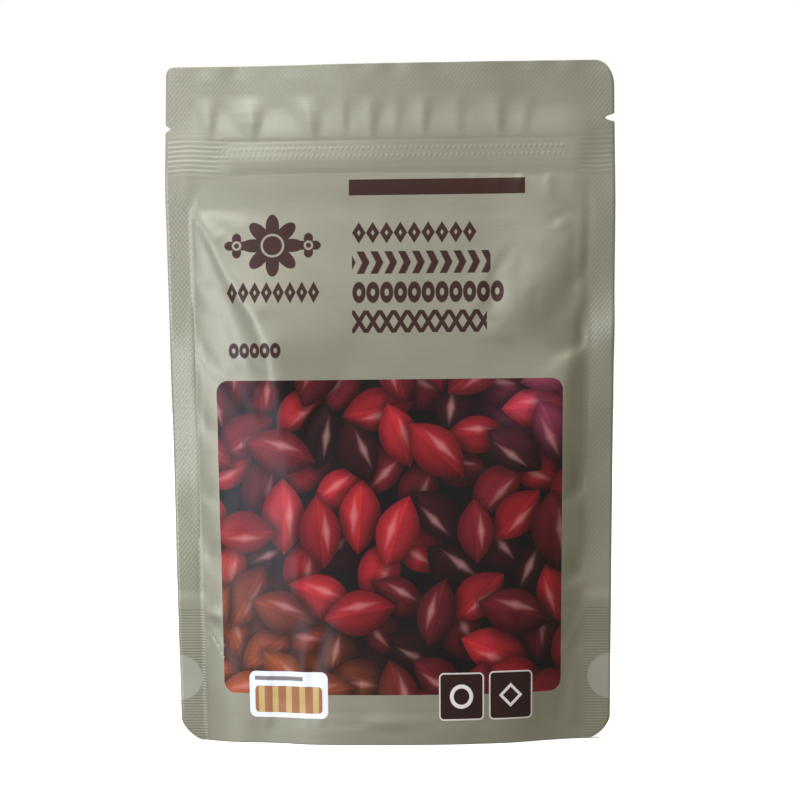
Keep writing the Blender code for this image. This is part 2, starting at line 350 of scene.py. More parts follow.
@dataclass(frozen=True)
class FilledBody:
    """How the filling holds one panel out."""

    form: PouchForm
    shoulders: tuple[Shoulder, Shoulder]
    crowns: tuple[Crown, Crown]
    tilt: float = 0.0  # how far the middle falls for each millimetre to the right of its left ridge
    tilt_from: float = -30.0  # where that ridge stands

    def depth(self, u: np.ndarray, z: np.ndarray) -> np.ndarray:
        """Finds how far the filling pushes the film out: the least of the middle, side slopes and crowns.

        Args:
            u: Place across the flat film.
            z: Height.

        Returns:
            The outward depth.
        """
        middle = self.form.middle_depth(z)
        tilted = ease(z, 15.0, 60.0) * (1 - ease(z, 120.0, 158.0))
        middle = middle - self.tilt * (u - self.tilt_from) * tilted
        limits = []
        for one in self.shoulders:
            limits.append((one.slope(self.form, u, z), np.maximum(one.read(one.softness, z), 0.1)))
        limits += [(one.limit(self.form, u, z), one.softness * 0.5) for one in self.crowns]
        for limit, soft in limits:
            middle = np.minimum(middle, limit) - soft * np.log1p(np.exp(-np.abs(middle - limit) / soft))
        start = self.form.body_half + np.where(u < 0, self.shoulders[0].reach, self.shoulders[1].reach)
        return np.maximum(middle, 0.0) * ease(start - np.abs(u), 0.0, 0.8)

    def face(self, u: np.ndarray, z: np.ndarray) -> np.ndarray:
        """Outer face of the filled panel, as a distance from the middle plane."""
        return self.form.layers(self.form.across(u, z), z) + self.depth(u, z)


@dataclass(frozen=True)
class Fold:
    """A crease line of the film: a ridge or valley along a run of points.

    A second width, where given, is for the right-hand side of the run.
    """

    points: tuple[tuple[float, float], ...]
    depth: tuple[float, ...]  # at each point, outward
    width: tuple[float, ...]
    right_width: tuple[float, ...] | None = None
    sharpness: float = 2.0

    def push(self, u: np.ndarray, z: np.ndarray) -> np.ndarray:
        """How far the fold moves the film outwards.

        Args:
            u: Place across the flat film.
            z: Height.

        Returns:
            The outward move.
        """
        reaches, pushes = [], []
        for at in range(len(self.points) - 1):
            (u0, z0), (u1, z1) = self.points[at], self.points[at + 1]
            du, dz = u1 - u0, z1 - z0
            t = np.clip(((u - u0) * du + (z - z0) * dz) / (du * du + dz * dz), 0.0, 1.0)
            away = np.hypot(u - u0 - t * du, z - z0 - t * dz)
            depth = self.depth[at] + (self.depth[at + 1] - self.depth[at]) * t
            width = self.width[at] + (self.width[at + 1] - self.width[at]) * t
            if self.right_width:
                other = self.right_width[at] + (self.right_width[at + 1] - self.right_width[at]) * t
                leftness = ((z - z0) * du - (u - u0) * dz) / math.hypot(du, dz)
                width = other + (width - other) * ease(leftness, -0.6, 0.6)
            reaches.append(away)
            pushes.append(depth * np.exp(-((away / width) ** self.sharpness)))
        nearness = np.exp((np.min(reaches, axis=0) - reaches) / 2.0)
        return (nearness * pushes).sum(axis=0) / nearness.sum(axis=0)


@dataclass(frozen=True)
class Dent:
    """A rounded hollow or swelling of the film, oval and turned."""

    centre: tuple[float, float]
    radii: tuple[float, float]
    depth: float  # outward
    turn: float = 0.0  # degrees
    lean: float = 0.0  # how much steeper one end is

    def push(self, u: np.ndarray, z: np.ndarray) -> np.ndarray:
        """Finds how far the dent moves the film outwards.

        Args:
            u: Place across the flat film.
            z: Height.

        Returns:
            The outward move.
        """
        turn = math.radians(self.turn)
        a = ((u - self.centre[0]) * math.cos(turn) + (z - self.centre[1]) * math.sin(turn)) / self.radii[0]
        b = ((z - self.centre[1]) * math.cos(turn) - (u - self.centre[0]) * math.sin(turn)) / self.radii[1]
        reach = a * a + b * b
        return self.depth * (1 + self.lean * a) * np.where(reach < 1, (1 - np.minimum(reach, 1)) ** 2, 0.0)


@dataclass(frozen=True)
class Pucker:
    """An upright lobe of the header between two valleys, from the zip to the top seal."""

    left: float
    right: float
    depth: float
    crest: float = 0.6  # where its crest stands, as a share of the way from left to right
    lean: float = 0.0  # how far its foot stands to the right of its head
    foot: float = 0.12  # width at the foot, as a share

    def push(self, u: np.ndarray, z: np.ndarray, low: float, high: float) -> np.ndarray:
        """How far the pucker moves the film outwards.

        Args:
            u: Place across the flat film.
            z: Height.
            low: Top of the zip.
            high: Lower edge of the top seal.

        Returns:
            The outward move.
        """
        up = np.clip((z - low) / (high - low), 0.0, 1.6)
        narrow = 1 - (1 - self.foot) * (1 - np.minimum(up, 1.0)) ** 1.4
        middle = self.left + (self.right - self.left) * self.crest
        off = (u - middle - self.lean * (1 - up)) / narrow
        reach = np.where(off < 0, middle - self.left, self.right - middle)
        near = 1 - np.clip(np.abs(off) / reach, 0.0, 1.0)
        smooth = near * near * (3 - 2 * near)
        profile = np.where(off < 0, 0.75 * near + 0.25 * near * near, 0.4 * near + 0.6 * smooth)
        swell = ease(up, -0.05, 0.5) * (1 - ease(up, 0.62, 1.08))
        return self.depth * profile * swell


@dataclass(frozen=True)
class NotchCut:
    """A tear notch in a side edge."""

    height: float
    depth: float
    half_mouth: float
    roundness: float  # 1 is a plain V, and more is a rounder end

    def cut(self, z: np.ndarray) -> np.ndarray:
        """How far in the edge is cut at a height."""
        away = np.abs(z - self.height) / self.half_mouth
        return self.depth * np.maximum(0.0, 1 - away**self.roundness)


# The side slopes. Each row of values goes up the panel from its foot, 10 mm at a time.
FRONT_SHOULDERS = (
    Shoulder(
        -1,
        (26, 26, 26.5, 27, 27.6, 28.1, 29, 30, 31.4, 33, 34.2, 35.4, 38.4, 44.4, 50.3, 54.8, 56.5, 57),
        (4, 4, 4, 4, 4, 3.6, 3.2, 2.8, 2.2, 1.6, 1.1, 0.8, 0.6, 0.5, 0.5, 0.6, 0.7, 0.7),
        foot=0.7,
        reach=1.0,
    ),
    Shoulder(
        1,
        (26, 28, 32, 36, 40, 43, 44.5, 45.5, 46.5, 47.5, 48.5, 49.5, 50.5, 51, 51.5, 52, 53, 54),
        (4, 4, 4, 3.5, 3, 2.6, 2.2, 1.8, 1.4, 1.1, 0.9, 0.8, 0.8, 0.8, 0.8, 0.8, 0.8, 0.8),
        0.9,
        -0.35,
    ),
)
BACK_SHOULDERS = (
    Shoulder(
        -1,
        (26, 26, 26.5, 27, 28, 29, 30, 31, 32, 34, 36, 38.5, 42, 46, 50, 54, 56, 57),
        (4, 4, 4, 4, 4, 3.6, 3, 2.4, 1.8, 1.2, 0.8, 0.7, 0.7, 0.8, 1, 1, 1, 1),
    ),
    Shoulder(
        1,
        (26, 26, 26, 26.5, 27, 28, 29, 30, 31, 32, 33.5, 36, 40, 44.5, 49.5, 54.5, 56, 57),
        (4, 4, 4, 4, 4, 4, 3.4, 2.8, 2, 1.4, 1, 0.8, 0.7, 0.7, 0.8, 0.9, 1, 1),
    ),
)
FRONT_CROWNS = (Crown(-1, 153.4, 0.10, 0.10, 0.6, 0.9), Crown(1, 118.0, -0.2, 0.36, 0.5, 3.4))
BACK_CROWNS = (Crown(-1, 151.0, 0.16, 0.08, 0.6, 1.4), Crown(1, 153.5, 0.1, 0.06, 0.8, 0.8))
# The left ridge's crest, from the upper left down into the picture.
LEFT_CREST = ((-51.8, 143.3), (-46.6, 131.7), (-40.0, 122.5), (-36.0, 113.0), (-34.0, 103.0), (-31.5, 86.0))
FRONT_FOLDS = (
    # The ridge's own crest, which bows where the film changes direction.
    Fold(
        ((-57.0, 152.6), *LEFT_CREST),
        (0.0, 0.3, 0.35, 0.4, 0.4, 0.3, 0.0),
        (1.8, 2.8, 3.2, 3.6, 3.8, 4.2, 5.0),
        (1.2, 1.4, 1.6, 1.8, 2.2, 3.0, 4.0),
    ),
    # The ridge stands up over the film to its right.
    Fold(
        ((-56.0, 151.0), *LEFT_CREST),
        (0.2, 0.9, 1.6, 2.1, 2.2, 1.5, 0.0),
        (8.0, 15.0, 20.0, 22.0, 22.0, 20.0, 14.0),
        (3.0, 4.0, 5.0, 6.0, 7.0, 7.0, 7.0),
        1.4,
    ),
    # Rolled upper edge of the pillow.
    Fold(
        ((-56.8, 149.6), (-55.2, 151.6), (-49.0, 151.8), (-42.0, 150.8), (-34.0, 149.0)),
        (0.3, 0.4, 0.45, 0.3, 0.0),
        (2.0, 2.4, 2.6, 3.4, 5.0),
        (1.8, 4.0, 5.0, 6.0, 8.0),
    ),
    # Roll at the upper right: down beside the seal, then along a diagonal, where it drops off.
    Fold(
        (
            *((51.0, 161.0), (52.5, 153.0), (52.0, 147.0), (49.0, 140.0)),
            *((44.0, 133.0), (37.0, 126.0), (31.0, 117.5), (27.0, 112.0)),
        ),
        (0.2, 0.7, 1.5, 2.6, 3.1, 3.0, 1.7, 0.2),
        (5.0, 6.0, 7.0, 10.0, 11.0, 10.0, 6.0, 3.0),
        (9.0, 11.0, 13.0, 14.0, 13.0, 9.0, 7.0, 5.0),
    ),
    # Tucks along the right seal, each overhung by the film above it.
    Fold(
        ((57.5, 114.6), (51.0, 111.8), (45.0, 108.0), (38.0, 105.0)),
        (-1.5, -1.0, -0.5, 0.0),
        (1.6, 2.0, 3.0, 4.0),
        (6.0, 7.0, 7.0, 7.0),
    ),
    Fold(((57.5, 72.4), (52.0, 69.8), (46.0, 67.0)), (-1.6, -1.0, 0.0), (1.6, 2.2, 3.0), (6.0, 7.0, 7.0)),
    Fold(((57.5, 47.8), (52.5, 46.4), (47.0, 45.0)), (-1.5, -0.9, 0.0), (1.5, 2.0, 3.0), (5.0, 6.0, 6.0)),
    Fold(
        ((57.5, 133.0), (53.0, 131.0), (49.0, 129.4)),
        (-0.8, -0.5, 0.0),
        (1.4, 2.0, 2.6),
        (3.0, 4.0, 4.0),
    ),
    Fold(((57.5, 27.0), (52.5, 26.0), (48.0, 25.5)), (-0.6, -0.4, 0.0), (2.0, 2.4, 3.0), (4.0, 4.0, 4.0)),
    # Tucks along the left seal.
    Fold(
        ((-57.5, 134.2), (-53.5, 133.0), (-49.5, 132.6)),
        (-0.7, -0.35, 0.0),
        (3.0, 3.0, 3.0),
        (1.4, 1.6, 2.0),
    ),
    Fold(
        ((-57.5, 124.4), (-54.0, 123.4), (-51.0, 123.0)),
        (-0.7, -0.3, 0.0),
        (3.0, 3.0, 3.0),
        (1.3, 1.6, 2.0),
    ),
    Fold(
        ((-57.5, 112.0), (-52.5, 107.0), (-47.0, 103.6), (-42.0, 101.0)),
        (-1.1, -0.8, -0.4, 0.0),
        (3.6, 3.6, 4.0, 4.0),
        (2.0, 2.4, 3.0, 4.0),
    ),
    Fold(
        ((-57.5, 91.6), (-53.0, 88.6), (-49.0, 87.6)),
        (-1.2, -0.7, 0.0),
        (4.4, 4.0, 4.0),
        (1.5, 2.0, 2.6),
    ),
    Fold(
        ((-57.5, 71.0), (-53.0, 69.6), (-49.0, 69.0)),
        (-0.9, -0.5, 0.0),
        (4.0, 4.0, 4.0),
        (1.6, 2.0, 2.6),
    ),
    Fold(
        ((-57.5, 54.0), (-53.0, 52.6), (-48.0, 52.0)),
        (-0.8, -0.4, 0.0),
        (4.0, 4.0, 4.0),
        (1.8, 2.2, 2.6),
    ),
    Fold(((-57.0, 37.0), (-53.6, 36.2), (-50.4, 35.4)), (1.0, 0.9, 0.0), (1.8, 1.8, 2.0), (1.4, 1.6, 2.0)),
    # Short upright tucks that hang from the zip.
    Fold(((38.0, 162.6), (37.6, 157.0)), (0.55, 0.0), (0.9, 1.4)),
    Fold(((45.8, 162.4), (46.4, 154.0)), (0.5, 0.0), (1.1, 2.0)),
    Fold(((31.0, 162.0), (30.6, 157.0)), (0.22, 0.0), (0.9, 1.4)),
    Fold(((24.4, 162.0), (24.2, 157.6)), (0.2, 0.0), (0.8, 1.2)),
    Fold(((17.0, 162.0), (17.0, 158.0)), (0.15, 0.0), (0.8, 1.2)),
    # Small crumple beside the bar.
    Fold(((45.5, 154.0), (49.5, 148.0), (51.0, 141.0)), (0.1, 0.4, 0.0), (1.6, 2.0, 2.4)),
    Fold(((42.0, 147.0), (47.5, 149.0), (52.5, 153.0)), (0.0, -0.35, 0.0), (1.4, 1.6, 1.6)),
)
FRONT_DENTS = (
    # Soft roll across the upper belly, and the fuller right edge below it.
    Dent((2.0, 118.0), (60.0, 32.0), 1.1),
    Dent((-34.0, 119.0), (30.0, 24.0), 1.3),
    Dent((-46.0, 112.0), (13.0, 30.0), -0.8),
    Dent((42.0, 98.0), (18.0, 46.0), 0.9),
    Dent((-8.0, 140.0), (26.0, 16.0), -0.5, -20.0),
    Dent((14.0, 96.0), (20.0, 14.0), -0.4, 15.0),
    Dent((-2.0, 48.0), (24.0, 15.0), -0.5, 5.0),
    Dent((26.0, 66.0), (14.0, 18.0), 0.35, 10.0),
)
FRONT_PUCKERS = (
    Pucker(-58.8, -49.4, 0.65, 0.6, 1.2, 0.3),
    Pucker(-49.8, -34.8, 0.95, 0.6, 1.4),
    Pucker(-31.6, -18.4, 0.85, 0.5, 3.4),
    Pucker(-18.4, -11.0, 0.5, 0.6, 1.2),
    Pucker(-10.6, -1.4, 0.7, 0.48, 1.2),
    Pucker(-2.0, 5.0, 0.32, 0.54, 0.4, 0.3),
    Pucker(5.0, 13.0, 0.65, 0.58, 0.6),
    Pucker(12.6, 22.8, 0.4, 0.62, 1.6),
    Pucker(23.0, 34.6, 0.7, 0.66, 1.6),
    Pucker(34.4, 43.6, 0.34, 0.55, -0.8),
    Pucker(44.0, 57.0, 0.12, 0.45, 2.4, 0.2),
)
BACK_FOLDS = (
    Fold(
        ((54.0, 150.0), (49.0, 140.0), (40.0, 122.0), (34.5, 104.0)),
        (0.3, 0.45, 0.4, 0.0),
        (2.0, 2.4, 3.0, 5.0),
    ),
    Fold(
        ((-54.0, 151.0), (-50.0, 140.0), (-42.5, 121.0), (-37.0, 103.0)),
        (0.3, 0.4, 0.4, 0.0),
        (2.0, 2.6, 3.0, 5.0),
    ),
    Fold(
        ((-30.0, 117.0), (-38.0, 124.0), (-46.0, 130.0), (-53.0, 137.0)),
        (0.1, 1.0, 1.0, 0.2),
        (3.0, 3.0, 3.4, 3.0),
        (9.0, 12.0, 12.0, 8.0),
    ),
    Fold(((57.5, 104.0), (52.0, 101.0), (46.0, 99.0)), (-1.2, -0.8, 0.0), (1.8, 2.2, 3.0), (6.0, 6.0, 6.0)),
    Fold(((57.5, 66.0), (52.0, 64.4), (47.0, 63.0)), (-1.2, -0.7, 0.0), (1.6, 2.0, 3.0), (5.0, 6.0, 6.0)),
    Fold(
        ((-57.5, 92.0), (-52.5, 88.4), (-47.0, 86.0)),
        (-1.3, -0.8, 0.0),
        (5.0, 6.0, 6.0),
        (1.6, 2.2, 3.0),
    ),
    Fold(
        ((-57.5, 56.0), (-52.5, 54.0), (-47.5, 53.0)),
        (-1.1, -0.7, 0.0),
        (5.0, 5.0, 5.0),
        (1.7, 2.2, 3.0),
    ),
)
BACK_DENTS = (
    Dent((6.0, 128.0), (28.0, 15.0), -0.5, 15.0),
    Dent((-12.0, 80.0), (22.0, 18.0), -0.5, -10.0),
    Dent((16.0, 44.0), (22.0, 14.0), -0.4, 8.0),
)
BACK_PUCKERS = (
    Pucker(-58.0, -47.0, 0.8, 0.45, -0.6, 0.5),
    Pucker(-46.5, -36.0, 0.95, 0.5, 1.6, 0.4),
    Pucker(-35.5, -25.0, 0.7, 0.6, 0.4, 0.4),
    Pucker(-24.0, -16.0, 0.95, 0.5, -1.2, 0.3),
    Pucker(-15.5, -4.0, 0.85, 0.6, 1.4, 0.5),
    Pucker(-3.0, 6.5, 0.95, 0.4, 0.2, 0.3),
    Pucker(8.0, 19.0, 0.7, 0.55, -1.6, 0.4),
    Pucker(20.0, 28.0, 0.95, 0.5, 0.6, 0.3),
    Pucker(29.0, 41.0, 0.8, 0.6, 1.8, 0.5),
    Pucker(44.0, 57.5, 0.8, 0.4, -1.0, 0.4),
)


def spaced(stretches: tuple[tuple[float, float, int], ...]) -> np.ndarray:
    """Joins stretches of (from, to, steps) into one rising row of places.

    Args:
        stretches: The stretches, each starting where the last ended.

    Returns:
        Every place.
    """
    places = [stretches[0][0]]
    for low, high, steps in stretches:
        places += [low + (high - low) * (step + 1) / steps for step in range(steps)]
    return np.array(places)


def piece_of(shape: bmesh.types.BMesh, name: str) -> bpy.types.Object:
    """Makes an object of a bmesh, and frees the bmesh.

    Args:
        shape: The finished bmesh.
        name: Name of the object and its mesh.

    Returns:
        The object, in the scene.
    """
    mesh = bpy.data.meshes.new(name)
    shape.to_mesh(mesh)
    shape.free()
    made = bpy.data.objects.new(name, mesh)
    bpy.context.scene.collection.objects.link(made)
    return made


def stand_in(piece: bpy.types.Object, node: str) -> None:
    """Lets a piece ride on the pouch's body in place of a node of the frame.

    Args:
        piece: The finished piece.
        node: The node that it stands for.
    """
    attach(piece, BODY)
    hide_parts(node)


def give_wall(piece: bpy.types.Object, thickness: float) -> None:
    """Makes a sheet a smooth film, inwards from its face.

    Args:
        piece: The sheet.
        thickness: The film's thickness.
    """
    piece.data.shade_smooth()
    wall = piece.modifiers.new("film", "SOLIDIFY")
    wall.thickness = thickness * MM
    wall.offset = -1.0


def grid_mesh(name: str, columns: int, rows: int) -> tuple[bpy.types.Object, np.ndarray, np.ndarray]:
    """Makes a flat grid object from bmesh's grid operator.

    Args:
        name: Name of the object and its mesh.
        columns: Number of faces across.
        rows: Number of faces up.

    Returns:
        The object, and the column and the row of each vertex.
    """
    shape = bmesh.new()
    bmesh.ops.create_grid(shape, x_segments=columns, y_segments=rows, size=0.5)
    made = piece_of(shape, name)
    places = np.empty(len(made.data.vertices) * 3, np.float32)
    made.data.vertices.foreach_get("co", places)
    places = places.reshape(-1, 3)
    column = np.rint((places[:, 0] + 0.5) * columns).astype(int)
    row = np.rint((places[:, 1] + 0.5) * rows).astype(int)
    return made, column, row


def place_vertices(piece: bpy.types.Object, points: np.ndarray) -> None:
    """Moves every vertex of a piece to its point.

    Args:
        piece: The mesh object.
        points: One row of x, y and z, in millimetres, for each vertex.
    """
    piece.data.vertices.foreach_set("co", (points * MM).astype(np.float32).ravel())
    piece.data.update()


def film_map(piece: bpy.types.Object, u: np.ndarray, v: np.ndarray) -> None:
    """Gives a piece the UV map "film", in metres across and up the flat film.

    Args:
        piece: The mesh object.
        u: Place across the film of each vertex, in millimetres.
        v: Place up the film of each vertex, in millimetres.
    """
    layer = piece.data.uv_layers.new(name="film")
    corners = np.empty(len(piece.data.loops), np.int32)
    piece.data.loops.foreach_get("vertex_index", corners)
    layer.data.foreach_set("uv", (np.stack([u, v], 1)[corners] * MM).astype(np.float32).ravel())


@dataclass
class FilmDrape:
    """Settles the body of a panel as slack film: cloth pinned at its seams, under a little pressure."""

    side: Side
    pitch: float = 2.0
    frames: int = 50
    pressure: float = 5.0
    slack_across: float = 1.005
    slack_up: float = 1.02
    ironed: tuple[float, float] = (146.0, 162.0)  # heights between which the wrinkles fade out
    most: float = 2.5  # no point moves further than this
    broad: float = 9.0  # moves wider than about this are the filling's
    swell_kept_out: float = 0.8  # share of them that is left out
    enlarged: float = 10.0  # the cloth solver works at this many times real size

    def settle(self, push: "PanelRelief") -> tuple[np.ndarray, np.ndarray, np.ndarray]:
        """Runs the cloth.

        Args:
            push: The folds and dents that the film starts with.

        Returns:
            The places across, the heights, and the film's wrinkles at each of their crossings.
        """
        form, body = push.body.form, push.body
        u_line = np.arange(-60.0, 60.1, self.pitch)
        z_line = np.linspace(0.0, 170.0, 86)
        sheet, column, row = grid_mesh("drape", len(u_line) - 1, len(z_line) - 1)
        u, z = u_line[column], z_line[row]
        x = form.across(u, z)
        start = body.face(u, z) + push.creases(u, z) + push.ripple(u, z)
        free = (np.abs(u) < form.body_half - 0.1) & (z > 5.0) & (z < 164.0)
        place_vertices(sheet, np.stack([x, start * self.side.value, z], 1) * self.enlarged)
        sheet.shape_key_add(name="Basis")
        flat = sheet.shape_key_add(name="flat film")
        cut = np.stack([u * self.slack_across, 0 * u, z * self.slack_up], 1) * self.enlarged * MM
        flat.data.foreach_set("co", cut.astype(np.float32).ravel())
        pins = sheet.vertex_groups.new(name="pins")
        pins.add([int(at) for at in np.nonzero(~free)[0]], 1.0, "REPLACE")
        cloth = sheet.modifiers.new("film", "CLOTH")
        settings = cloth.settings
        settings.vertex_group_mass = "pins"
        settings.rest_shape_key = flat
        settings.mass = 0.05
        settings.quality = 8
        settings.tension_stiffness = settings.compression_stiffness = 400
        settings.shear_stiffness = 240
        settings.bending_stiffness = 0.05
        settings.use_pressure = True
        settings.uniform_pressure_force = self.pressure
        settings.effector_weights.gravity = 0
        cloth.collision_settings.use_collision = False
        cloth.point_cache.frame_end = self.frames
        if self.side is Side.BACK:
            sheet.data.flip_normals()
        for step in range(1, self.frames + 1):
            bpy.context.scene.frame_set(step)
        settled = sheet.evaluated_get(bpy.context.evaluated_depsgraph_get())
        places = np.empty(len(sheet.data.vertices) * 3, np.float32)
        settled.data.vertices.foreach_get("co", places)
        out = places.reshape(-1, 3)[:, 1] / self.enlarged / MM * self.side.value
        moved = np.zeros((len(z_line), len(u_line)))
        settled_by = out - body.face(u, z) - push.creases(u, z)
        moved[row, column] = np.where(free, np.clip(settled_by, -self.most, self.most), 0.0)
        bpy.context.scene.frame_set(1)
        bpy.data.objects.remove(sheet)
        wrinkles = moved - self.swell_kept_out * self.blurred(moved)
        return u_line, z_line, wrinkles * (1 - ease(z_line, *self.ironed))[:, None]

    def blurred(self, moved: np.ndarray) -> np.ndarray:
        """Finds the broad part of the sheet's moves, which the filling's own form stands for.

        Args:
            moved: Table of the sheet's moves.

        Returns:
            The table without its wrinkles.
        """
        for _ in range(2):
            places = np.arange(len(moved))
            weights = np.exp(-((places[:, None] - places) * self.pitch / self.broad) ** 2 / 2)
            moved = (weights / weights.sum(axis=1, keepdims=True) @ moved).T
        return moved


@dataclass(frozen=True)
class PanelRelief:
    """Everything that a panel has over its plain form."""

    body: FilledBody
    folds: tuple[Fold, ...]
    dents: tuple[Dent, ...]
    puckers: tuple[Pucker, ...]
    phase: float = 0.0
    zip_lines: tuple[tuple[float, float, float], ...] = (  # height, outward depth and half width of each
        (171.4, -0.03, 0.5),
        (166.4, -0.03, 0.5),
        (165.2, 0.03, 0.5),
    )
    zip_lean: float = 0.12  # slope of the zip's band, which faces up
    crush: float = 0.075  # depth of the crushed film past the zip's ends
    crush_pitch: float = 1.4

    @property
    def form(self) -> PouchForm:
        """The pouch's form."""
        return self.body.form

    def creases(self, u: np.ndarray, z: np.ndarray) -> np.ndarray:
        """Adds up the folds and dents of the filled body.

        Args:
            u: Place across the flat film.
            z: Height.

        Returns:
            The outward move, which fades out at the seals.
        """
        total = sum(one.push(u, z) for one in (*self.folds, *self.dents))
        edge = ease(self.form.body_half - np.abs(u), 0.0, 1.6)
        return total * edge * ease(z, 4.0, 12.0) * (1 - ease(z, 160.5, 163.5))

    def ripple(self, u: np.ndarray, z: np.ndarray) -> np.ndarray:
        """Waves the film a little, so that the slack sheet has something to buckle from.

        Args:
            u: Place across the flat film.
            z: Height.

        Returns:
            The outward move.
        """
        waves = ((0.30, 0.13, 0.21), (0.25, -0.22, 0.12), (0.20, 0.31, 0.04), (0.20, 0.06, -0.28))
        total = sum(a * np.sin(k * u + m * z + self.phase + at) for at, (a, k, m) in enumerate(waves))
        return 0.4 * total

    def header(self, u: np.ndarray, z: np.ndarray) -> np.ndarray:
        """Adds up the header's puckers.

        Args:
            u: Place across the flat film.
            z: Height.

        Returns:
            The outward move.
        """
        form = self.form
        low, high = form.zip_height + form.zip_flange / 2, form.height - form.top_seal + 3.2
        total = sum(one.push(u, z, low, high) for one in self.puckers)
        return total * ease(form.body_half - np.abs(u), -0.5, 2.5)

    def zip_band(self, u: np.ndarray, z: np.ndarray) -> np.ndarray:
        """Presses the zip's flange edges and ridges into the film, and crushes it at the zip's ends.

        Args:
            u: Place across the flat film.
            z: Height.

        Returns:
            The outward move.
        """
        form = self.form
        top, foot = form.zip_height + form.zip_flange / 2, form.zip_height - form.zip_flange / 2
        presses = ((top + 0.4, -0.1, 0.4), *self.zip_lines, (foot, 0.02, 0.5))
        lines = sum(depth * np.exp(-(((z - at) / width) ** 2)) for at, depth, width in presses)
        in_band = ease(z, 162.0, 168.0) * (1 - ease(z, 172.0, 174.0))
        lines = (lines + (172.0 - z) * self.zip_lean * in_band) * (1 - 0.5 * ease(u, -12.0, 10.0))
        wave = np.sin(TURN * (z - 160.0) / self.crush_pitch + 1.1 * np.sin(0.35 * u))
        wave = wave * (0.75 + 0.25 * np.sin(2.1 * z + 0.5))
        crushed = self.crush * wave * ease(z, 159.5, 163.5) * (1 - ease(z, 173.0, 177.0))
        left, right = ease(-u, 45.0, 51.0), ease(u, form.body_half - 4.0, form.body_half + 0.5)
        return lines * (1 - left - right) + crushed * (left + 0.6 * right)


@dataclass
class FilmPanel:
    """The front or the back panel as one fine sheet of film."""

    name: str
    replaces: str
    side: Side
    relief: PanelRelief
    drape: FilmDrape
    notches: dict[int, NotchCut]
    thickness: float = 0.44  # so that the welded layers close the border
    rows: tuple[tuple[float, float, int], ...] = (
        (0.0, 1.2, 6),
        (1.2, 6.5, 6),
        (6.5, 162.5, 156),
        (162.5, 173.5, 44),
        (173.5, 176.0, 5),
        (176.0, 181.4, 18),
        (181.4, 187.4, 12),
        (187.4, 190.4, 4),
        (190.4, 194.1, 7),
        (194.1, 195.3, 6),
    )
    columns: tuple[tuple[float, float, int], ...] = (
        (-65.0, -57.0, 9),
        (-57.0, 57.0, 118),
        (57.0, 65.0, 9),
    )

    def edge_cut(self, x_sign: int, z: np.ndarray) -> np.ndarray:
        """How far in from the side edge the die cuts: at a corner or a notch.

        Args:
            x_sign: -1 for the left edge and 1 for the right, from the front.
            z: Heights.

        Returns:
            The cut at each height.
        """
        form = self.relief.form
        top = form.corner_top_left if x_sign < 0 else form.corner_top_right
        into_top = np.clip((z - form.height) / form.corner_tall + top, 0.0, top)
        top_corner = top - np.sqrt(top**2 - into_top**2)
        return top_corner + form.base_corner(z) + self.notches[x_sign].cut(z)

    def film_places(self) -> tuple[np.ndarray, np.ndarray]:
        """Finds the flat film place of every crossing of the columns and rows.

        Returns:
            Tables of the places across and of the heights.
        """
        u, z = np.meshgrid(spaced(self.columns), spaced(self.rows))
        for sign in (-1, 1):
            u = self.relief.form.trimmed(u, sign, self.edge_cut(sign, z))
        return u, z

    def drape_move(self, u: np.ndarray, z: np.ndarray) -> np.ndarray:
        """Reads the settled film at every place, by smooth interpolation.

        Args:
            u: Table of places across.
            z: Table of heights.

        Returns:
            Table of outward moves, which has the folds and dents in it.
        """
        u_line, z_line, moved = self.drape.settle(self.relief)
        up = interpolation(z_line, z[:, 0])
        over = interpolation(u_line, spaced(self.columns))
        return self.relief.creases(u, z) + up @ moved @ over.T

    def build(self) -> bpy.types.Object:
        """Makes the panel.

        Returns:
            The finished piece.
        """
        u, z = self.film_places()
        form, relief = self.relief.form, self.relief
        x = form.across(u, z)
        out = relief.body.face(u, z) + self.drape_move(u, z) + relief.header(u, z) + relief.zip_band(u, z)
        y = self.side.value * out + form.seal_wave(x, z)
        piece, column, row = grid_mesh(self.name, u.shape[1] - 1, u.shape[0] - 1)
        place_vertices(piece, np.stack([x[row, column], y[row, column], z[row, column]], 1))
        film_map(piece, u[row, column], z[row, column])
        if self.side is Side.BACK:
            piece.data.flip_normals()
        give_wall(piece, self.thickness)
        stand_in(piece, self.replaces)
        return piece


def interpolation(line: np.ndarray, at: np.ndarray) -> np.ndarray:
    """Weights of a smooth curve through evenly spaced values.

    Args:
        line: Where the values stand, evenly spaced.
        at: Where to read the curve, which is flat past either end of the line.

    Returns:
        A table with a row for each reading and a column for each value.
    """
    step = line[1] - line[0]
    place = np.clip((at - line[0]) / step, 0.0, len(line) - 1.001)
    low = np.floor(place).astype(int)
    t = place - low
    weights = (
        0.5 * (-t + 2 * t**2 - t**3),
        0.5 * (2 - 5 * t**2 + 3 * t**3),
        0.5 * (t + 4 * t**2 - 3 * t**3),
        0.5 * (-(t**2) + t**3),
    )
    table = np.zeros((len(at), len(line)))
    for shift, weight in enumerate(weights, start=-1):
        np.add.at(table, (np.arange(len(at)), np.clip(low + shift, 0, len(line) - 1)), weight)
    return table


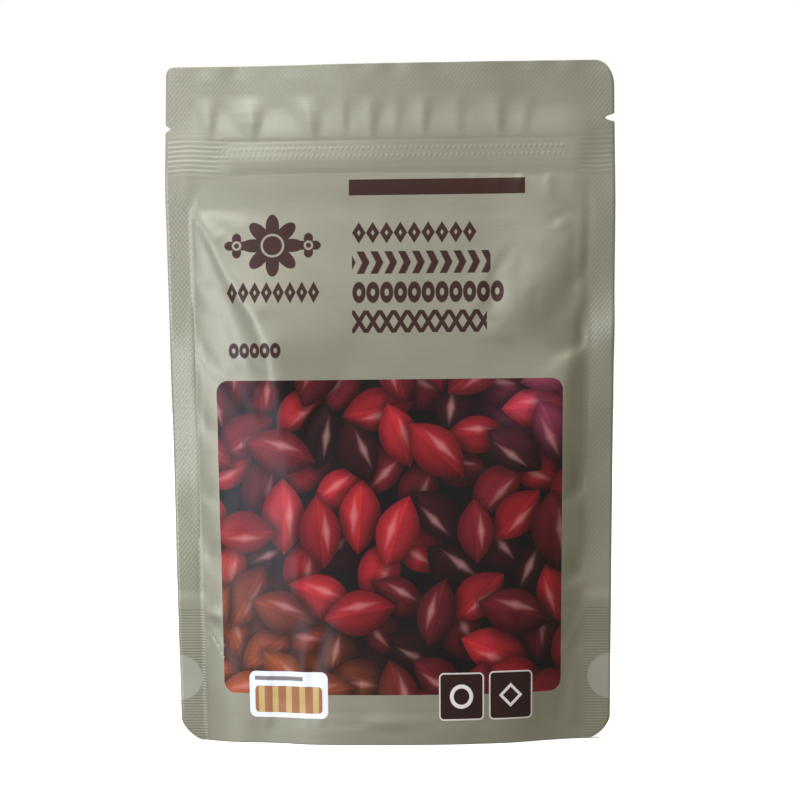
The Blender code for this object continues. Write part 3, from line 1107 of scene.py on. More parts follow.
@dataclass
class BaseGusset:
    """The folded film between the panels, which opens as the pouch's base."""

    bodies: dict[int, FilledBody]  # of the front, -1, and the back, 1
    thickness: float = 0.44  # so that the welded layers close the border
    least_border: float = 0.4  # width that is left beside a punched hole
    buckle: float = 0.25  # depth of the waves in its free part
    columns: int = 120
    rows: int = 72

    def panel(self, leaf: np.ndarray, u: np.ndarray, z: np.ndarray) -> np.ndarray:
        """Outer face of the panel that each point's leaf is sealed to."""
        return np.where(leaf < 0, self.bodies[-1].face(u, z), self.bodies[1].face(u, z))

    def leg(
        self, leaf: np.ndarray, u: np.ndarray, x: np.ndarray, to_fold: np.ndarray
    ) -> tuple[np.ndarray, np.ndarray]:
        """The free part of a leg.

        Args:
            leaf: Negative on the front leg.
            u: Place across the flat film.
            x: Place across.
            to_fold: 0 at the base seal and 1 at the fold.

        Returns:
            Distance from the middle plane, and height.
        """
        form = self.bodies[1].form
        closed = form.film_out
        seal_top = form.base_seal(x)
        foot = np.maximum(self.panel(leaf, u, seal_top) - form.layer, closed)
        slackness = 0.15 * ease(foot, closed, 4.0)
        rise = 1 - (1 - to_fold) ** (1 - slackness)
        height = seal_top + (form.ridge(x) - seal_top) * rise
        depth = closed + (foot - closed) * (1 - to_fold)
        return depth * (1 - ease(to_fold, 0.88, 1.0)), height

    def build(self) -> bpy.types.Object:
        """Makes the gusset.

        Returns:
            The finished piece.
        """
        form = self.bodies[1].form
        piece, column, row = grid_mesh("gusset_film", self.columns, self.rows)
        u = (2 * column / self.columns - 1) * form.width / 2
        leaf = 2 * row / self.rows - 1
        flat = (1 - np.abs(leaf)) * form.gusset_height
        base_x = form.across(u, np.zeros(u.shape))
        seal_top = form.base_seal(base_x)
        to_fold = np.clip((flat - seal_top) / (form.gusset_height - seal_top), 0.0, 1.0)
        depth, height = self.leg(leaf, u, base_x, to_fold)
        sealed = flat <= seal_top
        height = np.where(sealed, flat, height)
        punch = np.sqrt(np.maximum(form.punch_radius**2 - (height - form.punch_height) ** 2, 0.0))
        for sign in (-1, 1):
            cut = np.minimum(punch + form.base_corner(height), form.side_seal - self.least_border)
            u = form.trimmed(u, sign, cut)
        x = form.across(u, height)
        depth = np.where(sealed, self.panel(leaf, u, height) - form.layer, depth)
        slack = np.sin(math.pi * np.clip((height - seal_top) / 30.0, 0, 1))
        y = np.sign(leaf) * depth + form.seal_wave(x, height) + self.buckle * np.sin(0.21 * x + 0.5) * slack
        place_vertices(piece, np.stack([x, y, height], 1))
        film_map(piece, u, form.gusset_height - flat)
        give_wall(piece, self.thickness)
        stand_in(piece, "base_gusset")
        return piece


@dataclass
class FruitHeap:
    """The dried cranberries inside: the frame's filling, drawn in under the film and lumpy with berries."""

    reliefs: dict[int, PanelRelief]  # of the front, -1, and the back, 1
    clearance: float = 1.6
    pitch: float = 3.0
    berry: float = 11.0
    lump: float = 1.4

    def room(self, side: int, x: np.ndarray, z: np.ndarray) -> np.ndarray:
        """Finds the room that the fruit has under a panel.

        Args:
            side: -1 for the front and 1 for the back.
            x: Place across.
            z: Height.

        Returns:
            The most that it may reach from the middle plane.
        """
        relief = self.reliefs[side]
        u = x / relief.form.seal_line(z) * relief.form.body_half
        return np.maximum(relief.body.face(u, z) + relief.creases(u, z) - self.clearance, 0.4)

    def build(self) -> bpy.types.Object:
        """Makes the heap.

        Returns:
            The finished piece.
        """
        shape = bmesh.new()
        shape.from_mesh(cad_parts["dried_cranberries"].data)
        bmesh.ops.remove_doubles(shape, verts=shape.verts, dist=1e-6)
        for _ in range(5):
            long = [edge for edge in shape.edges if edge.calc_length() > self.pitch * MM]
            bmesh.ops.subdivide_edges(shape, edges=long, cuts=1)
            bmesh.ops.triangulate(shape, faces=shape.faces)
        bmesh.ops.recalc_face_normals(shape, faces=shape.faces)
        shape.normal_update()
        for vertex in shape.verts:
            reach = noise.voronoi(vertex.co / (self.berry * MM))[0][0]
            vertex.co -= vertex.normal * min(reach, 1.0) ** 2 * self.lump * MM
        places = np.array([vertex.co for vertex in shape.verts]) / MM
        x, y, z = places.T
        room = np.where(y < 0, self.room(-1, x, z), self.room(1, x, z))
        wave = self.reliefs[-1].form.seal_wave(x, z)
        for vertex, depth in zip(shape.verts, np.clip(y, -room, room) + wave):
            vertex.co.y = depth * MM
        piece = piece_of(shape, "berry_heap")
        piece.data.shade_smooth()
        stand_in(piece, "dried_cranberries")
        return piece


@dataclass
class ZipStrip:
    """One of the zip's strips, bent with the film that it is welded to."""

    node: str
    form: PouchForm
    thinned: float = 0.75  # the strip's place and thickness, against the frame's
    pitch: float = 2.0

    def build(self) -> bpy.types.Object:
        """Makes the strip.

        Returns:
            The finished piece.
        """
        shape = bmesh.new()
        shape.from_mesh(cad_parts[self.node].data)
        bmesh.ops.remove_doubles(shape, verts=shape.verts, dist=1e-6)
        for at in np.arange(-52.0, 52.1, self.pitch):
            everything = shape.verts[:] + shape.edges[:] + shape.faces[:]
            bmesh.ops.bisect_plane(shape, geom=everything, plane_co=(at * MM, 0, 0), plane_no=(1, 0, 0))
        bmesh.ops.recalc_face_normals(shape, faces=shape.faces)
        x, y, z = np.array([vertex.co for vertex in shape.verts]).T / MM
        for vertex, depth in zip(shape.verts, y * self.thinned + self.form.seal_wave(x, z)):
            vertex.co.y = depth * MM
        piece = piece_of(shape, f"{self.node}_bent")
        stand_in(piece, self.node)
        return piece


MIX_COLOURS = {"data_type": "RGBA"}
MULTIPLY_COLOURS = {"data_type": "RGBA", "blend_type": "MULTIPLY"}
SMOOTH = {"interpolation_type": "SMOOTHSTEP"}
ROOT = {"operation": "SQRT"}
WHOLE = {"operation": "FLOOR"}
SINE = {"operation": "SINE"}
COSINE = {"operation": "COSINE"}
ANGLE = {"operation": "ARCTAN2"}
SOFT_STEP = {"operation": "MULTIPLY_ADD", "use_clamp": True}
SOFT_EDGE = 0.1  # width over which a printed edge fades, in millimetres


class NodeGraph:
    """A material's nodes."""

    def __init__(self, name: str) -> None:
        """Starts a material with no nodes.

        Args:
            name: The material's name.
        """
        self.material = bpy.data.materials.new(name)
        self.material.use_nodes = True
        self.tree = self.material.node_tree
        self.tree.nodes.clear()

    def add(self, kind: str, settings: dict | None = None, inputs: dict | None = None) -> bpy.types.Node:
        """Adds one node with its settings and links.

        Args:
            kind: The node's type, without "ShaderNode".
            settings: Property names and values.
            inputs: Input names or numbers, each with a value, an output socket or a Field.

        Returns:
            The node.
        """
        node = self.tree.nodes.new("ShaderNode" + kind)
        for name, value in (settings or {}).items():
            setattr(node, name, value)
        for name, value in (inputs or {}).items():
            value = value.socket if isinstance(value, Field) else value
            value = value.outputs[0] if isinstance(value, bpy.types.Node) else value
            if isinstance(value, bpy.types.NodeSocket):
                self.tree.links.new(value, node.inputs[name])
            else:
                node.inputs[name].default_value = value
        return node


class Field:
    """A number that varies over the film. Arithmetic on it adds nodes."""

    def __init__(self, graph: NodeGraph, socket: bpy.types.NodeSocket) -> None:
        """Wraps a node's output."""
        self.graph = graph
        self.socket = socket

    def through(self, kind: str, settings: dict, *others: "Field | float") -> "Field":
        """Feeds this number to a new node.

        Args:
            kind: The node's type, without "ShaderNode".
            settings: Property names and values.
            others: What its second and later inputs take.

        Returns:
            What the node gives.
        """
        node = self.graph.add(kind, settings, dict(enumerate((self, *others))))
        return Field(self.graph, node.outputs[0])

    def __add__(self, other: "Field | float") -> "Field":
        """Sum."""
        return self.through("Math", {"operation": "ADD"}, other)

    def __sub__(self, other: "Field | float") -> "Field":
        """Difference."""
        return self.through("Math", {"operation": "SUBTRACT"}, other)

    def __mul__(self, other: "Field | float") -> "Field":
        """Product."""
        return self.through("Math", {"operation": "MULTIPLY"}, other)

    def __truediv__(self, other: "Field | float") -> "Field":
        """Quotient."""
        return self.through("Math", {"operation": "DIVIDE"}, other)

    def __mod__(self, other: float) -> "Field":
        """Remainder, never negative."""
        return self.through("Math", {"operation": "FLOORED_MODULO"}, other)

    def __abs__(self) -> "Field":
        """Size without sign."""
        return self.through("Math", {"operation": "ABSOLUTE"})

    def __or__(self, other: "Field | float") -> "Field":
        """The larger of the two, which joins two masks."""
        return self.through("Math", {"operation": "MAXIMUM"}, other)

    def inside(self, softness: float = SOFT_EDGE) -> "Field":
        """1 where a distance is negative and 0 where it is positive, with a soft step."""
        return self.through("Math", SOFT_STEP, -1 / softness, 0.5)

    def rise(self, start: float, end: float) -> "Field":
        """0 at start and 1 at end, held beyond them and with no kink."""
        return self.through("MapRange", SMOOTH, start, end)


@dataclass(frozen=True)
class Spot:
    """A printed shape's box: its centre and half sizes on the film, and its corner radius."""

    u: float
    v: float
    half_u: float
    half_v: float
    radius: float = 0.0

    def distance(self, u: Field, v: Field) -> Field:
        """Measures how far each place is from the rounded box.

        Args:
            u: Place across the film.
            v: Place up the film.

        Returns:
            The distance, negative inside the box.
        """
        over = (abs(u - self.u) - (self.half_u - self.radius)) | 0.0
        up = (abs(v - self.v) - (self.half_v - self.radius)) | 0.0
        if self.radius == 0.0:
            return (over | up) - SOFT_EDGE / 2
        return (over * over + up * up).through("Math", ROOT) - self.radius


class Motif(Enum):
    """Ornaments that a printed band can repeat."""

    LOZENGES = "lozenges"
    CHEVRONS = "chevrons"
    RINGS = "rings"
    LATTICE = "lattice"


@dataclass(frozen=True)
class Band:
    """A printed row of one ornament."""

    start: float
    v: float
    length: float
    motif: Motif
    height: float = 6.4
    pitch: float = 4.0

    def mask(self, u: Field, v: Field) -> Field:
        """Finds where the band has ink.

        Args:
            u: Place across the film.
            v: Place up the film.

        Returns:
            1 where there is ink, and 0 elsewhere.
        """
        half = self.pitch / 2
        a = (u - self.start) % self.pitch - half
        b = v - self.v
        tall = self.height / 2
        if self.motif is Motif.LOZENGES:
            shape = abs(abs(a) * (tall / half) + abs(b) - tall * 0.62) - tall * 0.36
        elif self.motif is Motif.CHEVRONS:
            shape = abs((abs(b) * 0.5 + a + self.pitch) % self.pitch - half) - self.pitch * 0.27
        elif self.motif is Motif.RINGS:
            reach = (a * a * (tall / half) ** 2 + b * b).through("Math", ROOT)
            shape = abs(reach - tall * 0.64) - tall * 0.32
        else:
            shape = abs(abs(a) * (tall / half) - abs(b)) - tall * 0.36
        box = Spot(self.start + self.length / 2, self.v, self.length / 2, tall)
        return shape.inside(0.3) * box.distance(u, v).inside()


@dataclass(frozen=True)
class LeafLayer:
    """One layer of printed leaves, a leaf to a cell of a staggered lattice, turned at random."""

    shift_u: float
    shift_v: float
    seed: float
    pitch: float = 23.0
    length: float = 11.2  # half of it, as is the width
    width: float = 6.6
    hues: tuple[tuple[str, float], ...] = (
        ("4f1016", 0.0),
        ("7d161c", 0.2),
        ("2c0b0e", 0.4),
        ("961f25", 0.55),
        ("200908", 0.72),
        ("66161d", 0.86),
    )
    gleam: str = "c98f8a"
    shadow: str = "080404"

    def draw(
        self,
        graph: NodeGraph,
        u: Field,
        v: Field,
        under: bpy.types.NodeSocket,
        tints: tuple[tuple[Field, str], ...],
    ) -> bpy.types.NodeSocket:
        """Prints the layer over what is under it.

        Args:
            graph: The material's nodes.
            u: Place across the film.
            v: Place up the film.
            under: The colour so far.
            tints: Where the leaves lean towards another colour, and that colour.

        Returns:
            The colour with this layer on it.
        """
        row = ((v + self.shift_v) / self.pitch).through("Math", WHOLE)
        along = u + self.shift_u + (row % 2.0) * (self.pitch / 2)
        cell = {0: (along / self.pitch).through("Math", WHOLE), 1: row, 2: self.seed}
        cell = graph.add("CombineXYZ", None, cell)
        chance = graph.add("TexWhiteNoise", {"noise_dimensions": "3D"}, {"Vector": cell.outputs[0]})
        parts = graph.add("SeparateColor", None, {0: chance.outputs["Color"]})
        pick, grow, spin = (Field(graph, parts.outputs[at]) for at in range(3))
        right = along % self.pitch - self.pitch / 2
        up = (v + self.shift_v) % self.pitch - self.pitch / 2
        turn = spin * TURN
        cos, sin = turn.through("Math", COSINE), turn.through("Math", SINE)
        size = grow * 0.2 + 0.8
        a = (right * cos + up * sin) / (size * self.length)
        b = (up * cos - right * sin) / (size * self.width)
        fullness = abs(b) + a * a
        edge = (fullness - 1.0) * (self.width * 0.8)
        mask, shade = edge.inside(0.35), (edge - 1.6).inside(3.6)
        light = (up - right) * (0.34 / self.length) + 0.66
        half = b.rise(-0.04, 0.04) * 0.24
        rib = (abs(b) * self.width - 0.16).inside(0.3) * 0.16
        veins = ((a * self.length - abs(b) * (self.width * 0.9)) * 2.6).through("Math", SINE)
        veins = veins.rise(0.8, 1.0) * 0.08
        value = (light + half) * (fullness.rise(0.35, 1.0) * -0.55 + 1.0) + rib + veins
        streak = (abs(b - 0.3) * 3.4 + abs(a) * 1.3).rise(1.0, 0.0) * 0.3
        hue = graph.add("ValToRGB", None, {"Fac": pick})
        hue.color_ramp.interpolation = "CONSTANT"
        for _ in self.hues[2:]:
            hue.color_ramp.elements.new(0.5)
        for element, (colour, place) in zip(hue.color_ramp.elements, self.hues):
            element.position, element.color = place, linear(colour)
        leaf = hue.outputs[0]
        for amount, colour in tints:
            leaf = graph.add("Mix", MIX_COLOURS, {"Factor": amount, 6: leaf, 7: linear(colour)}).outputs[2]
        leaf = graph.add("Mix", MULTIPLY_COLOURS, {"Factor": 1.0, 6: leaf, 7: value}).outputs[2]
        gleam = {"Factor": streak, 6: leaf, 7: linear(self.gleam)}
        leaf = graph.add("Mix", MIX_COLOURS, gleam).outputs[2]
        shadow = {"Factor": shade * 0.75, 6: under, 7: linear(self.shadow)}
        dark = graph.add("Mix", MIX_COLOURS, shadow).outputs[2]
        return graph.add("Mix", MIX_COLOURS, {"Factor": mask, 6: dark, 7: leaf}).outputs[2]


@dataclass(frozen=True)
class LaminateFinish:
    """Matte PET over aluminium-coated film, heat-sealed: a soft champagne sheen, dull where it is inked."""

    name: str = "metallised_matte_laminate"
    film: str = "7e7c6b"
    # a darker film colour, mixed in over cloudy patches and over the ribbed lower seals
    darker: str = "767463"
    pressed: str = "959586"
    roughness: float = 0.5
    metallic: float = 0.4
    knurl_across: float = 1.25
    knurl_up: float = 1.6  # two staggered rows
    rib_pitch: float = 0.8
    smooth_band: float = 40.4  # height of the plain band between the knurl and the ribs
    dot_pitch: float = 1.55
    dot_rows: tuple[float, float] = (170.7, 168.5)  # heights of the zip's two rows of dots
    seal_edge: tuple[float, float] = (57.2, 58.0)  # places across between which the knurl begins
    ribbed_edge: tuple[float, float] = (56.0, 58.0)
    zip_edge: tuple[float, float] = (52.0, 50.0)
    header_edge: tuple[float, float] = (185.0, 186.6)  # heights between which the top seal begins
    knurl_foot: tuple[float, float] = (38.0, 39.0)
    ribs_end: tuple[float, float] = (38.4, 37.8)
    relief_mm: float = 0.06
    printed: bool = True
    form: PouchForm = PouchForm()

    def film_axes(self, graph: NodeGraph) -> tuple[Field, Field]:
        """Reads the film's own UV map.

        Args:
            graph: The material's nodes.

        Returns:
            The places across and up the film, in millimetres.
        """
        film = graph.add("UVMap", {"uv_map": "film"}).outputs[0]
        axes = graph.add("SeparateXYZ", None, {0: film})
        return Field(graph, axes.outputs[0]) * (1 / MM), Field(graph, axes.outputs[1]) * (1 / MM)

    def lower_seals(self, u: Field, v: Field) -> tuple[Field, Field]:
        """Finds where the side seals are ribbed, over the gusset, and where its punched holes show.

        Args:
            u: Place across the film.
            v: Place up the film.

        Returns:
            The ribbed part, and the discs of the holes.
        """
        side = abs(u).rise(*self.ribbed_edge)
        low = v.rise(*self.ribs_end) * side
        over, up = abs(u) - self.form.width / 2, v - self.form.punch_height
        reach = (over * over + up * up).through("Math", ROOT)
        punch = (reach - self.form.punch_radius).inside(0.5) * side
        return low * (punch * -1.0 + 1.0), punch

    def relief(self, graph: NodeGraph, u: Field, v: Field, grain: Field) -> Field:
        """Presses the pattern: knurled seals, ribbed lower seals and the zip's dots.

        Args:
            graph: The material's nodes.
            u: Place across the film.
            v: Place up the film.
            grain: Where the press bit harder.

        Returns:
            The pattern's height.
        """
        side = abs(u).rise(*self.seal_edge)
        top = v.rise(*self.header_edge)
        ribbed, punch = self.lower_seals(u, v)
        across = (u * (TURN / self.knurl_across)).through("Math", COSINE)
        knurl = across * (v * (TURN / self.knurl_up)).through("Math", COSINE) * (grain * 0.8 + 0.3)
        smooth = abs(v - self.smooth_band).rise(1.8, 2.6) * abs(v - self.form.zip_height).rise(5.0, 8.0)
        knurl = knurl * ((side * 0.45) | (top * 0.3)) * v.rise(*self.knurl_foot) * smooth
        ribs = (v * (TURN / self.rib_pitch)).through("Math", SINE) * ribbed
        dots_u = (u * (TURN / self.dot_pitch)).through("Math", SINE)
        upper = abs(v - self.dot_rows[0]).rise(0.75, 0.15) * dots_u.rise(-0.4, 0.9) * 1.35
        lower = abs(v - self.dot_rows[1]).rise(0.75, 0.15) * dots_u.rise(0.4, -0.9) * 1.35
        in_zip = abs(u).rise(*self.zip_edge)
        return knurl + ribs * 0.5 + (upper + lower) * in_zip * (grain * 0.7 + 0.35) + punch * 0.5

    def build(self) -> bpy.types.Material:
        """Makes the material.

        Returns:
            The material.
        """
        graph = NodeGraph(self.name)
        u, v = self.film_axes(graph)
        place = graph.add("UVMap", {"uv_map": "film"})
        grain = Field(graph, graph.add("TexNoise", None, {"Vector": place, "Scale": 900.0}).outputs[0])
        cloud = graph.add("TexNoise", None, {"Vector": place, "Scale": 60.0, "Detail": 3.0})
        cloud = Field(graph, cloud.outputs[0])
        ribbed, punch = self.lower_seals(u, v)
        # The film is darker in random cloudy patches, and darker again over the ribbed lower seals.
        darkening = cloud.rise(0.35, 0.7) * 0.4 + ribbed * 0.7
        shades = {"Factor": darkening, 6: linear(self.film), 7: linear(self.darker)}
        colour = graph.add("Mix", MIX_COLOURS, shades).outputs[2]
        shades = {"Factor": punch * 0.6, 6: colour, 7: linear(self.pressed)}
        colour = graph.add("Mix", MIX_COLOURS, shades).outputs[2]
        bare: Field | float = self.metallic
        if self.printed:
            colour, ink = FrontPrint().draw(graph, u, v, colour)
            bare = ink * -self.metallic + self.metallic
        # Real grain is finer than a tenth of a millimetre: drawn near one, so that it shows.
        drawn = graph.add("CombineXYZ", None, {0: u * 0.03, 1: v * 0.9})
        streak = graph.add("TexNoise", None, {"Vector": drawn, "Scale": 1.0, "Detail": 2.0})
        streak = Field(graph, streak.outputs[0])
        height = self.relief(graph, u, v, cloud) + grain * 0.1 + streak * 0.5
        bump = graph.add("Bump", None, {"Distance": self.relief_mm * MM, "Height": height})
        # The matte coat scatters a grazing gleam, so a side view shows no mirror.
        glance = Field(graph, graph.add("LayerWeight", None, {"Blend": 0.5}).outputs["Facing"])
        glance = glance.rise(0.45, 0.85)
        surface = {
            "Base Color": colour,
            "Metallic": bare,
            "Roughness": grain * 0.10 + glance * 0.4 + (self.roughness - 0.05),
            "Specular IOR Level": 0.12,
            "Coat Weight": glance * -0.15 + 0.15,
            "Coat Roughness": 0.32,
            "Normal": bump,
        }
        shader = graph.add("BsdfPrincipled", None, surface)
        graph.add("OutputMaterial", None, {"Surface": shader})
        return graph.material


@dataclass(frozen=True)
class Rosette:
    """A printed flower with a ring for its eye."""

    u: float
    v: float
    petals: int
    inner: float
    outer: float

    def mask(self, u: Field, v: Field) -> Field:
        """Finds where the rosette has ink.

        Args:
            u: Place across the film.
            v: Place up the film.

        Returns:
            1 where there is ink, and 0 elsewhere.
        """
        a, b = u - self.u, v - self.v
        reach = (a * a + b * b).through("Math", ROOT)
        swing = (b.through("Math", ANGLE, a) * (self.petals / 2)).through("Math", COSINE)
        petal = abs(swing) * self.outer + self.inner
        eye = abs(reach - self.inner * 0.62) - 0.3
        return (reach - petal).inside(0.3) * (eye * -1.0).inside(0.3)


@dataclass(frozen=True)
class FrontPrint:
    """The front panel's print: plain bar, ornament bands, rosettes, leaf panel, label and badges."""

    ink: str = "2e1912"
    panel: Spot = Spot(-0.5, 59.1, 50.9, 44.9, 3.5)
    layers: tuple[LeafLayer, ...] = (
        LeafLayer(3.0, 2.0, 1.0),
        LeafLayer(15.0, 8.0, 2.0),
        LeafLayer(9.0, 15.5, 3.0),
        LeafLayer(21.0, 20.0, 4.0),
    )
    bar: Spot = Spot(13.75, 159.35, 25.35, 2.25)
    bands: tuple[Band, ...] = (
        Band(-10.8, 146.2, 36.0, Motif.LOZENGES),
        Band(-10.8, 137.6, 40.0, Motif.CHEVRONS),
        Band(-10.8, 129.0, 44.0, Motif.RINGS),
        Band(-10.8, 120.6, 39.0, Motif.LATTICE),
    )
    emblem_bands: tuple[Band, ...] = (
        Band(-47.4, 129.2, 27.2, Motif.LOZENGES, 6.4, 3.4),
        Band(-47.4, 112.6, 16.0, Motif.RINGS, 4.6, 3.2),
    )
    rosettes: tuple[Rosette, ...] = (
        Rosette(-33.8, 142.8, 8, 5.0, 4.0),
        Rosette(-44.2, 142.8, 4, 1.7, 1.9),
        Rosette(-23.4, 142.8, 4, 1.7, 1.9),
    )
    label: Spot = Spot(-31.4, 14.0, 12.1, 6.6, 2.0)
    label_field: Spot = Spot(-31.4, 12.6, 10.4, 3.8, 1.2)
    label_rule: Spot = Spot(-34.4, 18.6, 7.4, 0.55)
    stripe_pitch: float = 4.2
    ground: str = "0c0606"
    rose: str = "a8425f"
    tawny: str = "7c3a1e"
    tawny_leaf: str = "8c4624"
    plate_colours: tuple[str, ...] = ("c9cdd0", "a98f5c", "8a5a3c", "6f6a66")  # label, field, stripes, rule
    badge_colours: tuple[str, ...] = ("b9b3ad", "25140e", "c9c4be")  # rim, ground, motif
    badges: tuple[Spot, ...] = (Spot(20.8, 13.6, 6.7, 6.8, 1.5), Spot(35.45, 13.75, 6.45, 6.95, 1.5))

    def draw(
        self, graph: NodeGraph, u: Field, v: Field, film: bpy.types.NodeSocket
    ) -> tuple[bpy.types.NodeSocket, Field]:
        """Prints everything on the film.

        Args:
            graph: The material's nodes.
            u: Place across the film.
            v: Place up the film.
            film: The film's own colour.

        Returns:
            The colour, and where there is ink.
        """
        brown = self.bar.distance(u, v).inside()
        for motif in (*self.bands, *self.emblem_bands, *self.rosettes):
            brown = brown | motif.mask(u, v)
        colour = graph.add("Mix", MIX_COLOURS, {"Factor": brown, 6: film, 7: linear(self.ink)}).outputs[2]
        inside = self.panel.distance(u, v).inside()
        leaves = self.leaves(graph, u, v)
        colour = graph.add("Mix", MIX_COLOURS, {"Factor": inside, 6: colour, 7: leaves}).outputs[2]
        colour, plates = self.plates(graph, u, v, colour)
        return colour, brown | inside | plates

    def leaves(self, graph: NodeGraph, u: Field, v: Field) -> bpy.types.NodeSocket:
        """Prints the leaf panel: a dark ground, rosy at its upper right and tawny at its lower left.

        Args:
            graph: The material's nodes.
            u: Place across the film.
            v: Place up the film.

        Returns:
            The panel's colour.
        """
        rose = u.rise(20.0, 54.0) * v.rise(74.0, 106.0)
        tawny = (u * -0.8 - v).rise(-30.0, 14.0)
        ground = {"Factor": rose, 6: linear(self.ground), 7: linear(self.rose)}
        colour = graph.add("Mix", MIX_COLOURS, ground).outputs[2]
        ground = {"Factor": tawny, 6: colour, 7: linear(self.tawny)}
        colour = graph.add("Mix", MIX_COLOURS, ground).outputs[2]
        tints = ((rose * 0.6, self.rose), (tawny * 0.85, self.tawny_leaf))
        for layer in self.layers:
            colour = layer.draw(graph, u, v, colour, tints)
        return colour

    def plates(
        self, graph: NodeGraph, u: Field, v: Field, under: bpy.types.NodeSocket
    ) -> tuple[bpy.types.NodeSocket, Field]:
        """Prints the pale label and the two dark badges, with plain motifs.

        Args:
            graph: The material's nodes.
            u: Place across the film.
            v: Place up the film.
            under: The colour so far.

        Returns:
            The colour, and where the plates are.
        """
        cover = self.label.distance(u, v).inside()
        field = self.label_field.distance(u, v).inside()
        stripes = (abs((u - self.label.u) % self.stripe_pitch - self.stripe_pitch / 2) - 1.2).inside(0.2)
        rule = self.label_rule.distance(u, v).inside()
        paints = list(zip((cover, field, stripes * field, rule), self.plate_colours))
        for at, badge in enumerate(self.badges):
            away = badge.distance(u, v)
            cover = cover | away.inside()
            a, b = u - badge.u, v - badge.v
            reach = (a * a + b * b).through("Math", ROOT) if at == 0 else abs(a) + abs(b)
            motif = (abs(reach - 2.9) - 0.55).inside(0.2)
            paints += zip((away.inside(), (away + 0.42).inside(), motif), self.badge_colours)
        colour = under
        for mask, paint in paints:
            colour = graph.add("Mix", MIX_COLOURS, {"Factor": mask, 6: colour, 7: linear(paint)}).outputs[2]
        return colour, cover


@dataclass(frozen=True)
class PlainFinish:
    """A finish of one colour with a fine mottle, for what is inside or under the pouch."""

    name: str
    colour: str
    other: str
    roughness: float
    mottle_mm: float
    depth_mm: float

    def build(self) -> bpy.types.Material:
        """Makes the material, on Object coordinates.

        Returns:
            The material.
        """
        graph = NodeGraph(self.name)
        place = graph.add("TexCoord").outputs["Object"]
        mottle = {"Vector": place, "Scale": 1 / (self.mottle_mm * MM), "Detail": 3.0}
        mottle = graph.add("TexNoise", None, mottle)
        shades = {"Factor": mottle, 6: linear(self.colour), 7: linear(self.other)}
        colour = graph.add("Mix", MIX_COLOURS, shades).outputs[2]
        bump = graph.add("Bump", None, {"Distance": self.depth_mm * MM, "Height": mottle})
        surface = {"Base Color": colour, "Roughness": self.roughness, "Normal": bump}
        shader = graph.add("BsdfPrincipled", None, surface)
        graph.add("OutputMaterial", None, {"Surface": shader})
        return graph.material


# Polyethylene: extruded and waxy, so milky white with a soft shine.
ZIP_PLASTIC = PlainFinish("extruded_polyethylene", "e9e9e4", "dededa", 0.35, 2.0, 0.02)
# Dried cranberry: wrinkled, dark red skin with a dull sugary shine.
DRIED_FRUIT = PlainFinish("dried_cranberry_skin", "5a1016", "8c2326", 0.42, 3.0, 0.6)
# Studio floor: smooth matte paint, which shows only a soft contact shadow.
STUDIO_PAINT = PlainFinish("matte_white_paint", "f4f4f2", "f6f6f4", 0.9, 40.0, 0.0)


@dataclass(frozen=True)
class Softbox:
    """A rectangular lamp that faces the pouch. Lengths here are metres."""

    name: str
    place: tuple[float, float, float]
    watts: float
    size: tuple[float, float] = (0.15, 0.2)

    def hang(self, colour: tuple[float, float, float]) -> None:
        """Hangs the lamp.

        Args:
            colour: Its light's linear red, green and blue.
        """
        lamp = bpy.data.lights.new(self.name, "AREA")
        lamp.shape = "RECTANGLE"
        lamp.size, lamp.size_y = self.size
        lamp.energy = self.watts
        lamp.color = colour
        softbox = bpy.data.objects.new(self.name, lamp)
        softbox.location = self.place
        to_pouch = Vector((0, 0, 0.1)) - Vector(self.place)
        softbox.rotation_euler = to_pouch.to_track_quat("-Z", "Y").to_euler()
        bpy.context.scene.collection.objects.link(softbox)


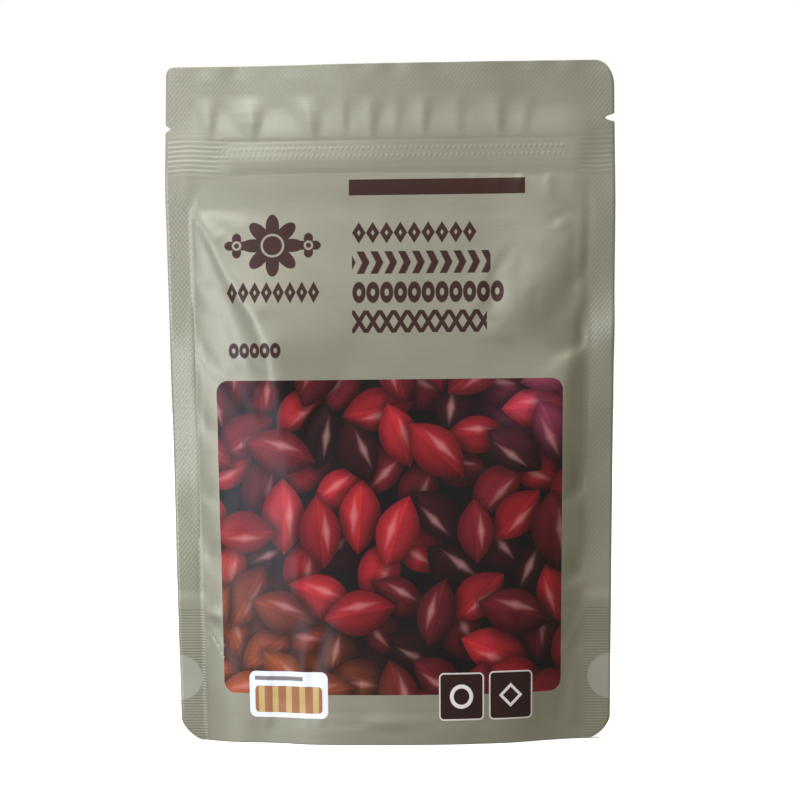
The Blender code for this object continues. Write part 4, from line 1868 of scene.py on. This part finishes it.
@dataclass(frozen=True)
class Studio:
    """Floor, lights and camera. Lengths here are metres."""

    distance: float = 0.90
    turn: float = 3.103  # degrees to the right of square on
    eye: float = 0.1113
    roll: float = -0.602  # degrees
    field_of_view: float = 14.641
    aim: tuple[float, float] = (0.00238, 0.09794)
    daylight: tuple[float, float, float] = (0.93, 1.0, 1.19)
    room: tuple[float, float, float] = (1.045, 0.993, 0.93)
    room_level: float = 0.578
    overhead: float = 3.68
    softboxes: tuple[Softbox, ...] = (
        Softbox("key_low", (-0.20, -0.20, 0.10), 0.62),
        Softbox("key_high", (-0.10, -0.20, 0.42), 0.88),
        Softbox("key_far", (-0.55, -0.20, 0.20), 0.63),
    )

    def add_floor(self) -> None:
        """Lays the floor."""
        floor, column, row = grid_mesh("studio_floor", 4, 4)
        place_vertices(floor, np.stack([(column - 2) * 2500.0, (row - 2) * 2500.0, 0 * row - 0.05], 1))
        floor.data.materials.append(STUDIO_PAINT.build())
        # Its bounce would wash out the film's lower half.
        floor.visible_diffuse = floor.visible_glossy = False

    def add_lights(self) -> None:
        """Hangs the softboxes and an overhead light, and lights the air."""
        for softbox in self.softboxes:
            softbox.hang(self.daylight)
        sun = bpy.data.lights.new("overhead", "SUN")
        sun.energy = self.overhead
        sun.angle = math.radians(60)
        sun.color = self.room
        overhead = bpy.data.objects.new("overhead", sun)
        bpy.context.scene.collection.objects.link(overhead)
        world = bpy.data.worlds.new("studio_air")
        world.use_nodes = True
        tree = world.node_tree
        seen = tree.nodes.new("ShaderNodeLightPath").outputs["Is Camera Ray"]
        air = tree.nodes.new("ShaderNodeMix")
        air.data_type = "RGBA"
        air.inputs[6].default_value = (*(self.room_level * part for part in self.room), 1)
        air.inputs[7].default_value = (1, 1, 1, 1)
        tree.links.new(seen, air.inputs["Factor"])
        tree.links.new(air.outputs[2], tree.nodes["Background"].inputs["Color"])
        bpy.context.scene.world = world

    def add_camera(self) -> None:
        """Sets the camera at the photograph's angle."""
        turn = math.radians(self.turn)
        place = Vector((self.distance * math.sin(turn), -self.distance * math.cos(turn), self.eye))
        target = Vector((self.aim[0], 0.0, self.aim[1]))
        camera = bpy.data.objects.new("camera", bpy.data.cameras.new("camera"))
        camera.data.angle = math.radians(self.field_of_view)
        camera.location = place
        rotation = (target - place).to_track_quat("-Z", "Y").to_matrix()
        camera.rotation_euler = (rotation @ Matrix.Rotation(math.radians(self.roll), 3, "Z")).to_euler()
        bpy.context.scene.collection.objects.link(camera)
        bpy.context.scene.camera = camera


def dress(piece: bpy.types.Object, finish: bpy.types.Material) -> None:
    """Gives a piece its finish, and reports it."""
    piece.data.materials.append(finish)
    log.info("%s: %d faces", piece.name, len(piece.data.polygons))


def main() -> None:
    """Builds every piece, dresses it and sets up the studio."""
    logging.basicConfig(level=logging.INFO, format="%(message)s")
    bpy.context.scene.view_settings.view_transform = "Standard"
    form = PouchForm()
    notches = {
        -1: NotchCut(height=177.2, depth=1.5, half_mouth=1.15, roundness=1.0),
        1: NotchCut(height=178.6, depth=2.7, half_mouth=1.15, roundness=2.0),
    }
    printed = LaminateFinish("printed_metallised_laminate").build()
    plain = LaminateFinish(printed=False).build()
    bodies = {
        -1: FilledBody(form, FRONT_SHOULDERS, FRONT_CROWNS, tilt=0.055),
        1: FilledBody(form, BACK_SHOULDERS, BACK_CROWNS),
    }
    reliefs = {
        -1: PanelRelief(bodies[-1], FRONT_FOLDS, FRONT_DENTS, FRONT_PUCKERS),
        1: PanelRelief(bodies[1], BACK_FOLDS, BACK_DENTS, BACK_PUCKERS, phase=2.1),
    }
    for side, finish in ((Side.FRONT, printed), (Side.BACK, plain)):
        word = side.name.lower()
        relief, drape = reliefs[side.value], FilmDrape(side)
        dress(FilmPanel(f"{word}_film", f"{word}_panel", side, relief, drape, notches).build(), finish)
    dress(BaseGusset(bodies).build(), plain)
    dress(FruitHeap(reliefs).build(), DRIED_FRUIT.build())
    for node in ("zip_rib_strip", "zip_groove_strip"):
        dress(ZipStrip(node, form).build(), ZIP_PLASTIC.build())
    studio = Studio()
    studio.add_floor()
    studio.add_lights()
    studio.add_camera()


if __name__ == "__main__":
    main()
